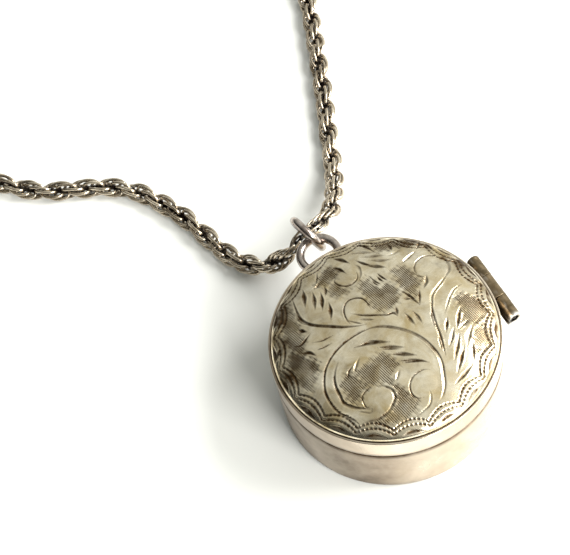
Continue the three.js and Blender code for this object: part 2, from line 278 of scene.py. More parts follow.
def silver(name, bright, dull, dark, roughness, cloud, tarnish, hatch=False, brushed=(0.12, 1, 1)):
    """Tarnished silver: a bright and a dull tone in clouds, dark sulphide and painted shade where the
    patina attribute is high, fine scratches, and roughness that follows all of them. cloud is how many
    clouds there are in a metre, and brushed how much the scratches are shortened along each axis."""
    n = Nodes(name)
    clouds = n.spread(n.noise(cloud, 4.0, 0.6, distortion=0.6), 0.35, 0.7)
    colour = n.mix(clouds, bright, dull)
    colour = n.mix(n.attribute("worn"), colour, POLISHED)
    patina = n.attribute("patina")
    blotch = n.noise(cloud * 3.1, 5.0, 0.65)
    depth = n.math("ADD", n.math("MULTIPLY", patina, n.spread(blotch, 0.3, 0.65, 0.75, 1.15)),
                   n.math("MULTIPLY", n.spread(blotch, 0.52, 0.75), tarnish * 0.4))
    scratches = n.noise(2600, 2.0, 0.5, stretch=brushed, distortion=0.2)
    relief = n.math("MULTIPLY", scratches, 0.35)
    if hatch:
        # fine lines over the whole of each ground, and a second set across them in places
        first = n.spread(n.wave(1380, -13, 1.0), 0.1, 0.55, 1.0, 0.0)
        second = n.spread(n.wave(1600, 70, 1.2), 0.1, 0.5, 0.9, 0.0)
        broken = n.spread(n.noise(420, 2.0, 0.5), 0.44, 0.56)
        lines = n.math("MAXIMUM", first, n.math("MULTIPLY", second, broken))
        pits = n.math("MULTIPLY", lines, n.attribute("ground"))
        depth = n.math("ADD", depth, n.math("MULTIPLY", pits, 1.15))
        relief = n.math("SUBTRACT", relief, n.math("MULTIPLY", pits, 1.2))
    depth = n.math("MINIMUM", depth, 1.0)
    n.to_shader("Base Color", n.mix(depth, colour, dark))
    gloss = n.spread(clouds, 0.0, 1.0, roughness * 0.8, roughness * 1.25)
    n.to_shader("Roughness", n.math("ADD", gloss, n.math("MULTIPLY", depth, 0.22)))
    n.to_shader("Metallic", 1.0)
    n.bump(relief, 0.35, 0.02)
    return n.material


METALS = {
    # bright, dull and dark tones, roughness, and the rest by name
    "dome_silver": ((0.93, 0.84, 0.655), (0.57, 0.452, 0.250), (0.058, 0.033, 0.013), 0.20,
                    dict(cloud=380, tarnish=0.55, hatch=True)),
    "wall_silver": ((0.80, 0.69, 0.55), (0.56, 0.45, 0.33), (0.085, 0.055, 0.03), 0.24,
                    dict(cloud=85, tarnish=0.16, brushed=(1, 1, 0.08))),
    "inside_silver": ((0.80, 0.77, 0.70), (0.66, 0.61, 0.52), SULPHIDE, 0.33,
                      dict(cloud=240, tarnish=0.35, brushed=(1, 0.1, 1))),
    "hinge_silver": ((0.25, 0.19, 0.115), (0.070, 0.050, 0.024), (0.012, 0.009, 0.006), 0.38,
                     dict(cloud=520, tarnish=0.9, brushed=(1, 0.1, 1))),
    "wire_silver": ((0.58, 0.51, 0.46), (0.19, 0.15, 0.125), (0.015, 0.01, 0.01), 0.22,
                    dict(cloud=420, tarnish=0.8)),
    "chain_silver": ((0.76, 0.66, 0.52), (0.25, 0.195, 0.13), (0.010, 0.006, 0.005), 0.22,
                     dict(cloud=330, tarnish=0.6)),
    "spring_steel": ((0.62, 0.63, 0.65), (0.48, 0.48, 0.48), SULPHIDE, 0.3, dict(cloud=500, tarnish=0.2)),
}
materials = {name: silver(name, *tones, **detail) for name, (*tones, detail) in METALS.items()}


# ---- mesh helpers, in millimetres ----
def make_piece(name, points, faces, slot, body, replaced, sharp_deg=38, **shades):
    """A mesh piece on a body. shades are the values at its points that its material reads: patina,
    ground and worn."""
    mesh = bpy.data.meshes.new(name)
    mesh.from_pydata((np.asarray(points, float) * MM).tolist(), [], faces)
    mesh.update()
    mesh.shade_smooth()
    mesh.set_sharp_from_angle(angle=math.radians(sharp_deg))
    for label, values in shades.items():
        attribute = mesh.attributes.new(label, "FLOAT", "POINT")
        attribute.data.foreach_set("value", np.asarray(values, np.float32))
    mesh.materials.append(materials[slot])
    piece = add_object(name, mesh)
    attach(piece, body)
    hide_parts(*replaced)
    return piece


def flipped(faces):
    """The same faces, turned inside out."""
    return [f[::-1] for f in faces]


def strip_faces(rows, columns, wrap_rows, wrap_columns, first=0):
    """Quads over a grid of points, row after row."""
    faces = []
    for i in range(rows if wrap_rows else rows - 1):
        for j in range(columns if wrap_columns else columns - 1):
            a, b = i * columns, (i + 1) % rows * columns
            k = (j + 1) % columns
            faces.append((first + a + j, first + b + j, first + b + k, first + a + k))
    return faces


def end_faces(rows, columns):
    """The two flat ends of a row of rings, facing as strip_faces does."""
    return [tuple(range(columns - 1, -1, -1)), tuple(range((rows - 1) * columns, rows * columns))]


def arc(centre_r, centre_z, radius, from_deg, to_deg, steps):
    """Points of a round corner in a (radius, height) outline."""
    angles = np.radians(np.linspace(from_deg, to_deg, steps + 1))
    return [(centre_r + radius * math.cos(a), centre_z + radius * math.sin(a)) for a in angles]


def refine(outline, step):
    """Adds points to a closed (radius, height) outline so that none are further apart than step."""
    fine = []
    for (r0, z0), (r1, z1) in zip(outline, outline[1:] + outline[:1]):
        count = max(1, math.ceil(math.hypot(r1 - r0, z1 - z0) / step))
        fine += [(r0 + (r1 - r0) * i / count, z0 + (z1 - z0) * i / count) for i in range(count)]
    return fine


def ripple(angle, height, seed, amount):
    """A few slow waves round a hand-made wall, in millimetres."""
    local = np.random.default_rng(seed)
    total = np.zeros_like(angle)
    for turns in (2, 3, 5, 7, 11):
        phase, tilt = local.uniform(0, 2 * math.pi), local.uniform(-0.5, 0.5)
        total += np.sin(turns * angle + phase + tilt * height) / math.sqrt(turns)
    return amount * total / 2


def lathe(name, outline, slot, body, replaced, wobble, seed, patina):
    """Revolves a closed (radius, height) outline, counter-clockwise, that stays off the axis. patina,
    the tarnish and painted shade, is a function of radius, angle and height."""
    segments = 240
    outline = np.array(outline)
    r, a = np.meshgrid(outline[:, 0], round_angles(segments))
    z = np.tile(outline[:, 1], (segments, 1))
    r = r + ripple(a, z, seed, wobble)
    points = np.stack([r * np.cos(a), r * np.sin(a), z], -1).reshape(-1, 3)
    make_piece(name, points, strip_faces(segments, len(outline), True, True), slot, body, replaced,
               patina=patina(r, a, z).ravel())


def frames_along(path, closed):
    """Tangent and two cross directions at each point, carried along without twist."""
    ahead = np.roll(path, -1, 0) - np.roll(path, 1, 0)
    if not closed:
        ahead[0] = path[1] - path[0]
        ahead[-1] = path[-1] - path[-2]
    tangent = ahead / np.linalg.norm(ahead, axis=1)[:, None]
    start = np.array([0, 0, 1.0]) if abs(tangent[0][2]) < 0.9 else np.array([1.0, 0, 0])
    side = np.zeros_like(path)
    side[0] = unit(start - tangent[0] * (start @ tangent[0]))
    for i in range(1, len(path)):
        side[i] = unit(side[i - 1] - tangent[i] * (side[i - 1] @ tangent[i]))
    return tangent, side, np.cross(tangent, side)


def tube(path, radius, sides, closed=False, round_ends=0):
    """Points and faces of a round tube, of one radius or one at each point. round_ends is the number of
    rings in each domed end."""
    path = np.asarray(path, float)
    radii = np.full(len(path), float(radius)) if np.isscalar(radius) else np.asarray(radius, float)
    if round_ends:
        first, last = unit(path[1] - path[0]), unit(path[-1] - path[-2])
        bend = np.linspace(0, math.pi / 2, round_ends + 1)[1:] * 0.94
        head = [path[0] - first * radii[0] * math.sin(b) for b in bend[::-1]]
        tail = [path[-1] + last * radii[-1] * math.sin(b) for b in bend]
        radii = np.concatenate([radii[0] * np.cos(bend[::-1]), radii, radii[-1] * np.cos(bend)])
        path = np.vstack([head, path, tail])
    _, side, other = frames_along(path, closed)
    around = round_angles(sides)
    ring = side[:, None] * np.cos(around)[None, :, None] + other[:, None] * np.sin(around)[None, :, None]
    points = (path[:, None] + ring * radii[:, None, None]).reshape(-1, 3)
    faces = strip_faces(len(path), sides, closed, True)
    if not closed:
        faces += end_faces(len(path), sides)
    return points, flipped(faces)


def merge(parts):
    """Puts several (points, faces) together."""
    points, faces, count = [], [], 0
    for p, f in parts:
        points.append(p)
        faces += [tuple(i + count for i in face) for face in f]
        count += len(p)
    return np.vstack(points), faces


def circle_path(centre, normal, radius, steps, from_deg=0.0, to_deg=360.0):
    """Points of a circle or an arc; angles run counter-clockwise about the normal."""
    normal = unit(np.asarray(normal, float))
    start = np.array([1.0, 0, 0]) if abs(normal[0]) < 0.9 else np.array([0, 1.0, 0])
    u = unit(start - normal * (start @ normal))
    v = np.cross(normal, u)
    whole = abs(to_deg - from_deg) >= 360
    angles = np.radians(np.linspace(from_deg, to_deg, steps, endpoint=not whole))[:, None]
    return np.asarray(centre, float) + radius * (np.cos(angles) * u + np.sin(angles) * v)


# ---- box walls ----
def painted_shade_round(a, middle_deg, gain, offset):
    """Painted shade round a wall: most on the side away from the hinge and the windows, little on the lit
    side.
    """
    return np.clip(gain * np.cos(a - math.radians(middle_deg)) + offset, 0, 1) * (0.93 + 0.07 * np.sin(5 * a))


def make_base_wall():
    """A band with a rounded foot and broken edges at the seam."""
    inner = BOX_R - BASE_WALL_T
    outline = refine([(inner, 0.02), *arc(inner + 0.05, 0.05, 0.05, 200, 270, 2),
                      *arc(BOX_R - 0.4, 0.4, 0.4, -90, 0, 6),
                      *arc(BOX_R - 0.09, SEAM_Z - 0.09, 0.09, 0, 90, 4),
                      *arc(inner + 0.06, SEAM_Z - 0.06, 0.06, 90, 180, 3)], 0.8)

    def patina(r, a, z):
        seam, foot = bell(z, SEAM_Z, 0.16), bell(z, 0, 0.25)
        # darker at the seam and the foot, and painted shade on the wall's left side, away from the windows
        return np.clip(seam * 0.9 + foot * 0.5 + 0.03 + 0.70 * painted_shade_round(a, 188, 1.0, 0.1), 0, 1)

    lathe("base_wall_shell", outline, "wall_silver", "base", ["base_wall"], 0.018, 3, patina)


def make_lid_rim():
    """The lid's band: broken edges, and a ledge that runs in under the dome."""
    inner, foot, under = BOX_R - RIM_T, RIM_BOTTOM_Z + 0.05, RIM_TOP_Z - 0.06
    outline = refine([(inner, foot), *arc(inner + 0.05, foot, 0.05, 200, 270, 2),
                      *arc(BOX_R - 0.09, RIM_BOTTOM_Z + 0.09, 0.09, -90, 0, 4),
                      *arc(BOX_R - 0.14, RIM_TOP_Z - 0.14, 0.14, 0, 90, 5),
                      (BOX_R - 0.3, RIM_TOP_Z), (DOME_R + 0.02, RIM_TOP_Z - 0.02), (DOME_R - 0.1, under),
                      (inner, under)], 0.6)

    def patina(r, a, z):
        seam = bell(z, RIM_BOTTOM_Z, 0.12)
        # tarnish and painted shadow in the crease under the dome's edge
        crease_tarnish_and_shade = bell(r, DOME_R, 0.10) * (z > RIM_TOP_Z - 0.3)
        # painted shade on the band's left side, away from the windows
        return np.clip(seam * 0.9 + crease_tarnish_and_shade + 0.6 * painted_shade_round(a, 175, 1.6, -0.6), 0, 1)

    lathe("lid_band", outline, "wall_silver", "lid", ["lid_rim"], 0.015, 5, patina)


def disc_points(rings, segments, radius, height):
    """Rings of points from the rim inwards, then one point in the middle. height maps radius to z."""
    radii = np.linspace(radius, 0, rings + 1)[:-1]
    r, a = np.meshgrid(radii, round_angles(segments), indexing="ij")
    points = np.stack([r * np.cos(a), r * np.sin(a), height(r, a)], -1).reshape(-1, 3)
    return np.vstack([points, [(0, 0, float(height(np.zeros(1), np.zeros(1))[0]))]])


def disc_faces(rings, segments, first, up):
    """Faces over disc_points, or over any such rings with a middle point after them."""
    faces = strip_faces(rings, segments, False, True, first)
    middle, last = first + rings * segments, first + (rings - 1) * segments
    faces += [(last + j, middle, last + (j + 1) % segments) for j in range(segments)]
    return flipped(faces) if up else faces


def make_base_plate():
    """The floor: slightly dished by the solderer's hammer, with a dark line where it meets the collar."""
    rings, segments = 30, 144
    top = disc_points(rings, segments, PLATE_R - 0.02,
                      lambda r, a: PLATE_TOP_Z + 0.03 * np.cos(r * 0.9) * np.sin(2 * a + 0.6) * (r / 14))
    bottom = disc_points(rings, segments, PLATE_R - 0.02,
                         lambda r, a: 0.03 + 0.015 * np.cos(r * 0.8) * np.cos(3 * a) * (r / 14))
    count = len(top)
    faces = disc_faces(rings, segments, 0, True) + disc_faces(rings, segments, count, False)
    faces += [(j, count + j, count + (j + 1) % segments, (j + 1) % segments) for j in range(segments)]
    points = np.vstack([top, bottom])
    r = np.hypot(points[:, 0], points[:, 1])
    make_piece("floor_plate", points, faces, "inside_silver", "base", ["base_plate"],
               patina=bell(r, COLLAR_R - COLLAR_T, 0.35) * 0.8)


def make_collar():
    """The strip that the lid slides over, thinned at its lip."""
    inner = COLLAR_R - COLLAR_T
    outline = refine([(inner, PLATE_TOP_Z), (COLLAR_R, PLATE_TOP_Z),
                      *arc(COLLAR_R - 0.16, COLLAR_TOP_Z - 0.16, 0.16, 0, 90, 4),
                      *arc(inner + 0.12, COLLAR_TOP_Z - 0.12, 0.12, 90, 180, 3)], 0.8)

    def patina(r, a, z):
        foot, seam = bell(z, PLATE_TOP_Z, 0.4), bell(z, SEAM_Z, 0.1) * (r > COLLAR_R - 0.1)
        return np.clip(foot * 0.7 + seam * 0.7, 0, 1)

    lathe("lid_collar", outline, "inside_silver", "base", ["inner_collar"], 0.01, 9, patina)


make_base_wall()
make_lid_rim()
make_base_plate()
make_collar()


# ---- the engraved dome ----
def curve_through(points, spacing=0.12):
    """The smooth curve through (x, y) points."""
    return smooth_path([(x, y, 0) for x, y in points], spacing)[:, :2]


class Engraving:
    """Cuts on the dome seen from above: height change, patina with painted shade, and hatched ground at each
    mesh point.
    """

    def __init__(self, x, y):
        self.x, self.y = x, y
        self.height = np.zeros_like(x)
        self.patina = np.zeros_like(x)
        self.ground = np.zeros_like(x)

    def distance(self, line, reach):
        """Which points lie near a line, how far they are from it (+ on its left) and how far along it."""
        near = np.where((self.x > line[:, 0].min() - reach) & (self.x < line[:, 0].max() + reach)
                        & (self.y > line[:, 1].min() - reach) & (self.y < line[:, 1].max() + reach))[0]
        p = np.stack([self.x[near], self.y[near]], 1)
        best = np.full(len(near), 1e9)
        along = np.zeros(len(near))
        sign = np.ones(len(near))
        for i in range(len(line) - 1):
            a, ab = line[i], line[i + 1] - line[i]
            t = np.clip(((p - a) @ ab) / (ab @ ab), 0, 1)
            offset = p - a - t[:, None] * ab
            d = np.hypot(offset[:, 0], offset[:, 1])
            closer = d < best
            best[closer] = d[closer]
            along[closer] = ((i + t) / (len(line) - 1))[closer]
            sign[closer] = np.sign(ab[0] * offset[:, 1] - ab[1] * offset[:, 0])[closer]
        return near, best, along, sign

    def cut(self, points, width, depth, taper=(0.25, 0.25), dark=0.9, lean=0.0, smooth=True, burr=0.25):
        """A graver's cut, V-shaped and tapered over a share of its length at each end, with the metal raised
        a little on one side by burr. lean moves the bottom of the V to one side, which makes the broad wall
        of a bright cut."""
        line = curve_through(points) if smooth else np.array(points, float)
        near, d, along, sign = self.distance(line, width * 2)
        swell = np.ones(len(near))
        if taper[0]:
            swell *= np.clip(along / taper[0], 0.12, 1) ** 0.7
        if taper[1]:
            swell *= np.clip((1 - along) / taper[1], 0.12, 1) ** 0.7
        half = width / 2 * swell
        signed = d * sign - lean * half
        wall = np.where(signed > 0, half * (1 - lean), half * (1 + lean))
        v = np.clip(1 - np.abs(signed) / np.maximum(wall, 1e-6), 0, 1)
        self.height[near] -= depth * swell * v
        raised = bell(d * sign, half + 0.06, 0.07) * (d < width * 1.6)
        self.height[near] += depth * burr * swell * raised
        shade = min(1.0, 1.25 * dark) * v ** 0.4 * np.clip(swell + 0.3, 0, 1)
        self.patina[near] = np.maximum(self.patina[near], shade)

    def dots(self, line, spacing, length, width, depth):
        """Short punched dashes along a line."""
        along = lengths_along(line)
        count = max(1, round(along[-1] / spacing))
        for k in range(count):
            middle = (k + 0.5) * along[-1] / count
            ends = [[np.interp(at, along, line[:, c]) for c in (0, 1)]
                    for at in (middle - length / 2, middle + length / 2)]
            self.cut(ends, width, depth, taper=(0, 0), dark=1.0, smooth=False, burr=0.1)

    def patch(self, outline, sink, strength, shade):
        """A hatched ground inside an outline: cut down a little, darkened and marked for hatching."""
        edge = curve_through(list(outline) + [outline[0]], 0.25)
        near, d, _, _ = self.distance(edge, 0.6)
        inside = np.zeros(len(near), bool)
        px, py = self.x[near], self.y[near]
        for (x0, y0), (x1, y1) in zip(edge[:-1], edge[1:]):
            crosses = (y0 > py) != (y1 > py)
            at = x0 + (py - y0) / np.where(y1 == y0, 1e-9, y1 - y0) * (x1 - x0)
            inside ^= crosses & (px < at)
        ragged = 0.14 * (np.sin(5.1 * px + 2.3 * py) + np.sin(7.7 * py - 3.1 * px) + np.sin(11 * px + 6 * py))
        soft = np.clip(0.5 + (np.where(inside, d, -d) + ragged) / 0.7, 0, 1)
        self.height[near] -= sink * soft
        self.ground[near] = np.maximum(self.ground[near], strength * soft)
        self.patina[near] = np.maximum(self.patina[near], shade * soft)

    def swell(self, centre, radius, rise):
        """A rounded boss, such as the eye of a scroll."""
        d = np.hypot(self.x - centre[0], self.y - centre[1]) / radius
        self.height += rise * np.clip(1 - d ** 2, 0, 1)


SCALLOPS = 19
SCALLOP_START = -96.5  # a cusp, in degrees
BORDER_ROWS = [(12.75, 0.85), (13.22, 0.72)]  # radius at the cusps, and how far the row bows inwards
BORDER_LEAF = [(13.42, 0.18), (13.2, 0.5), (13.42, 0.82)]  # radius, and share of the way along the scallop


def engrave_border(e):
    """Two rows of punched dashes in scallops that bow inwards, and a leaf cut outside each."""
    pitch = 360 / SCALLOPS
    for k in range(SCALLOPS):
        start = SCALLOP_START + k * pitch
        for row_r, bow in BORDER_ROWS:
            t = np.linspace(0, 1, 25)
            angle = np.radians(start + pitch * t)
            radius = row_r - bow * np.sin(math.pi * t) ** 0.8
            line = np.stack([radius * np.cos(angle), radius * np.sin(angle)], 1)
            e.dots(line, spacing=0.52, length=0.23, width=0.31, depth=0.12)
        turns = [(r, math.radians(start + pitch * share)) for r, share in BORDER_LEAF]
        leaf = [(r * math.cos(a), r * math.sin(a)) for r, a in turns]
        e.cut(leaf, width=0.54, depth=0.11, taper=(0.5, 0.5), dark=1.0, lean=0.4)


def engrave_scrolls(e):
    """The two big scrolls, their eyes, and the stems."""
    # the round scroll, from its tail at the front, over the top, to the left
    e.cut([(0.6, -11.4), (1.5, -10.9), (2.3, -10.0), (2.9, -8.8), (3.4, -7.6), (3.6, -6.3), (3.4, -4.8),
           (3.0, -3.6), (2.3, -2.4), (1.3, -1.2), (0.0, -0.1), (-1.2, 0.5), (-2.6, 0.75)],
          0.46, 0.10, taper=(0.15, 0.2), dark=0.62, lean=-0.3)
    e.cut([(-1.4, 0.55), (-2.6, 0.75), (-4.0, 0.75), (-5.5, 0.5), (-7.0, -0.05), (-8.3, -0.9), (-9.2, -2.0),
           (-9.8, -3.2), (-10.0, -4.4), (-9.95, -5.5), (-9.7, -6.5), (-9.2, -7.3), (-8.7, -8.2),
           (-8.4, -9.0)], 0.34, 0.13, taper=(0.1, 0.12), dark=0.95, lean=0.35)
    e.cut([(-6.8, -1.2), (-7.6, -1.9), (-8.2, -2.7), (-8.55, -3.6), (-8.65, -4.6), (-8.75, -5.6),
           (-8.4, -6.4), (-7.9, -7.0), (-7.3, -7.5), (-6.7, -7.9), (-6.3, -8.2)],
          0.44, 0.15, taper=(0.35, 0.3), dark=1.0, lean=0.3)
    e.cut([(-7.9, -7.4), (-7.2, -8.1), (-6.6, -8.5), (-6.2, -8.1)], 0.16, 0.05, dark=0.5)
    # eyes of the scrolls
    e.cut([(-6.1, -7.9), (-6.75, -7.7), (-6.75, -6.8), (-6.35, -6.2), (-5.5, -5.95), (-4.9, -5.9)],
          0.2, 0.08, dark=0.9)
    e.cut([(-4.6, -6.1), (-3.8, -6.6), (-3.25, -7.4), (-3.3, -8.3), (-4.0, -9.0), (-5.0, -9.5),
           (-6.2, -9.55), (-7.4, -9.2), (-8.3, -9.0)], 0.4, 0.09, dark=0.55, lean=-0.3)
    e.cut([(1.9, -7.65), (1.4, -7.35), (0.8, -7.2), (-0.1, -7.3), (-0.75, -7.65), (-1.25, -8.2),
           (-1.5, -8.9), (-1.45, -9.4), (-1.1, -9.9), (-0.4, -10.15)], 0.22, 0.08, dark=0.85)
    e.cut([(0.5, -9.7), (0.25, -10.4), (-0.4, -11.1), (-1.3, -11.35), (-2.6, -11.6)], 0.3, 0.07, dark=0.45,
          lean=0.3)
    e.cut([(-3.0, 2.1), (-3.15, 3.0), (-3.0, 4.0), (-2.5, 4.85), (-1.7, 5.28), (-0.8, 5.1), (-0.2, 4.6),
           (0.02, 3.8), (-0.02, 2.7)], 0.24, 0.08, taper=(0.15, 0.2), dark=0.85)
    e.cut([(-2.4, 3.6), (-1.7, 2.9), (-0.8, 2.2), (0.2, 1.6), (1.1, 1.05), (1.9, 0.85), (2.15, 0.2)],
          0.3, 0.1, taper=(0.3, 0.1), dark=0.8, lean=0.3)
    e.cut([(-3.1, 2.9), (-2.5, 2.2), (-1.9, 1.6)], 0.2, 0.07, dark=0.8)
    e.cut([(-1.9, 2.3), (-1.2, 1.8), (-0.4, 1.3)], 0.26, 0.08, dark=0.6)
    e.cut([(-1.1, 9.1), (-1.75, 8.8), (-1.65, 8.1), (-1.2, 7.5), (-0.5, 7.15), (0.4, 7.25), (1.0, 7.8),
           (1.2, 8.7)], 0.24, 0.08, dark=0.75)
    e.cut([(1.5, 9.6), (1.7, 8.8), (1.4, 7.9), (0.9, 7.2)], 0.4, 0.07, dark=0.4, lean=0.3)
    e.cut([(6.7, 4.5), (7.1, 4.2), (7.25, 5.0), (7.8, 5.7), (8.5, 6.05), (9.3, 6.15), (10.1, 5.8),
           (10.9, 5.2)], 0.24, 0.08, dark=0.75)
    e.cut([(10.9, 5.4), (11.25, 4.6), (11.2, 3.6), (10.7, 2.8), (9.8, 2.2)], 0.44, 0.08, dark=0.4, lean=-0.3)
    e.cut([(7.0, 4.2), (7.3, 3.7), (7.7, 3.4)], 0.2, 0.06, dark=0.6)
    # long leaf from the top left
    e.cut([(-7.1, 9.9), (-7.35, 8.8), (-7.55, 7.8), (-7.7, 6.8), (-7.5, 5.8), (-7.0, 5.0), (-6.2, 4.2),
           (-5.2, 3.4), (-4.2, 2.6), (-3.2, 2.0), (-2.2, 1.5), (-1.4, 1.25)],
          0.42, 0.13, taper=(0.3, 0.3), dark=0.9, lean=0.25)
    e.cut([(-7.75, 7.6), (-7.95, 6.8), (-7.8, 5.9), (-7.3, 5.2)], 0.16, 0.05, dark=0.6)
    # right stems
    e.cut([(10.4, 2.5), (9.4, 2.0), (8.4, 1.5), (7.4, 0.95), (6.7, 0.2), (6.2, -0.9)],
          0.42, 0.09, taper=(0.3, 0.15), dark=0.35, lean=0.5, burr=0.6)
    e.cut([(6.9, 0.3), (6.2, -0.8), (5.8, -1.9), (5.4, -3.2), (5.15, -4.3), (4.8, -5.5), (4.3, -7.0)],
          0.32, 0.12, taper=(0.25, 0.25), dark=0.95)
    e.cut([(5.9, -1.1), (5.5, -2.0), (5.15, -3.3)], 0.3, 0.07, dark=0.7)
    e.cut([(4.95, -4.3), (4.6, -5.3), (4.35, -6.2)], 0.26, 0.06, dark=0.6)
    e.cut([(11.0, 0.4), (9.9, 0.2), (8.9, -0.45), (8.0, -1.3), (7.2, -2.2)],
          0.3, 0.09, taper=(0.3, 0.3), dark=0.55, lean=0.4, burr=0.5)


# each leaf cut: x and y of its start, middle and end, then its width and darkness
LEAF_CUTS = [
    (-5.5, 10.0, -5.9, 8.9, -6.4, 7.7, 0.46, 0.7),
    (-4.7, 8.9, -5.1, 7.8, -5.6, 6.6, 0.44, 1.0),
    (-3.9, 8.3, -4.35, 7.2, -4.9, 6.0, 0.44, 0.9),
    (-3.8, 6.4, -4.2, 5.3, -4.7, 4.2, 0.42, 0.95),
    (-3.1, 8.8, -3.3, 8.2, -3.6, 7.6, 0.34, 0.8),
    (-2.8, 11.3, -3.2, 10.6, -3.8, 9.7, 0.18, 0.5),
    (-4.6, 9.3, -3.9, 9.4, -3.1, 9.8, 0.26, 0.5),
    (-8.0, 2.8, -7.0, 2.4, -5.5, 2.2, 0.2, 0.6),
    (-8.2, 1.7, -7.1, 1.5, -6.1, 1.4, 0.2, 0.6),
    (-10.1, 3.8, -9.3, 3.4, -7.7, 4.0, 0.28, 0.7),
    (-8.7, 5.4, -8.3, 4.9, -7.9, 4.5, 0.4, 0.9),
    (-9.8, 2.4, -9.0, 1.9, -8.5, 1.1, 0.34, 0.8),
    (-4.3, -0.6, -2.4, -1.1, -0.4, -2.2, 0.46, 0.6),
    (-2.0, -2.1, -0.7, -2.8, 0.8, -3.75, 0.3, 0.65),
    (-1.8, -2.5, -0.9, -2.95, 0.3, -3.7, 0.24, 0.55),
    (-1.2, -3.6, 0.0, -4.3, 1.4, -5.3, 0.4, 0.75),
    (-0.7, -4.9, 0.5, -5.5, 1.6, -6.1, 0.26, 0.9),
    (-0.5, -5.3, 1.2, -6.0, 2.2, -6.8, 0.3, 0.95),
    (-6.9, -3.7, -6.3, -2.9, -5.4, -2.5, 0.22, 0.7),
    (-6.0, -3.6, -5.2, -2.7, -4.3, -2.0, 0.3, 0.25),
    (-2.3, -6.9, -1.8, -6.4, -1.1, -5.8, 0.28, 0.25),
    (2.15, 6.8, 2.3, 5.9, 2.75, 5.05, 0.2, 0.75),
    (2.05, 6.1, 2.15, 5.6, 2.4, 5.1, 0.16, 0.6),
    (2.85, 6.5, 2.95, 5.8, 3.2, 5.2, 0.2, 0.7),
    (3.1, 6.9, 3.3, 6.0, 3.65, 5.15, 0.2, 0.75),
    (3.1, 0.1, 3.15, -0.9, 3.3, -1.9, 0.36, 0.6),
    (4.0, -0.1, 4.1, -1.1, 4.15, -2.1, 0.32, 0.5),
    (4.2, 3.2, 4.7, 2.0, 5.15, 0.2, 0.3, 0.85),
    (6.3, 2.2, 5.7, 1.2, 5.2, 0.2, 0.24, 0.7),
    (3.8, 2.1, 4.3, 1.7, 4.9, 1.4, 0.26, 0.6),
    (2.6, 1.5, 2.4, 0.9, 2.2, 0.3, 0.3, 0.8),
    (8.0, 3.5, 7.5, 2.8, 6.8, 2.0, 0.5, 0.45),
    (-0.2, 12.1, 0.4, 11.3, 1.1, 10.1, 0.44, 0.85),
    (-1.0, 10.9, -0.4, 10.0, 0.0, 8.9, 0.34, 0.8),
    (1.9, 10.1, 2.5, 9.0, 3.2, 8.2, 0.28, 0.8),
    (2.6, 8.6, 3.4, 7.9, 4.5, 7.0, 0.4, 0.85),
    (2.9, 12.4, 3.9, 11.5, 4.45, 10.0, 0.34, 0.85),
    (1.6, 11.6, 3.0, 10.8, 4.6, 9.7, 0.36, 0.3),
    (2.6, 10.2, 4.0, 9.4, 5.4, 8.7, 0.36, 0.3),
    (3.2, 9.2, 4.4, 8.3, 5.8, 7.7, 0.34, 0.35),
    (5.2, 8.55, 6.2, 8.4, 7.4, 8.55, 0.3, 0.2),
    (6.0, 6.5, 7.3, 6.85, 9.0, 7.5, 0.34, 0.3),
    (9.1, 7.6, 9.6, 8.1, 10.2, 8.8, 0.26, 0.6),
    (6.3, 10.4, 6.5, 9.8, 6.4, 9.0, 0.34, 0.5),
    (7.1, -2.8, 6.5, -3.6, 5.9, -4.5, 0.34, 0.7),
    (9.3, -2.2, 8.3, -3.3, 7.3, -4.7, 0.36, 0.95),
    (7.1, -4.3, 6.2, -5.3, 5.2, -6.3, 0.36, 0.75),
    (7.2, -5.3, 6.1, -6.6, 4.9, -8.0, 0.4, 0.75),
    (6.9, -6.9, 5.7, -8.1, 4.3, -9.5, 0.4, 0.65),
    (6.5, -9.3, 5.1, -9.9, 3.3, -10.5, 0.34, 0.6),
    (8.0, -6.9, 7.5, -7.9, 6.8, -9.1, 0.26, 0.8),
    (9.0, -5.2, 8.0, -6.0, 7.3, -7.0, 0.5, 0.12),
    (9.2, -4.2, 8.2, -4.5, 7.1, -4.9, 0.24, 0.15),
    (-11.5, 4.9, -12.2, 4.2, -12.8, 3.5, 0.36, 0.9),
]

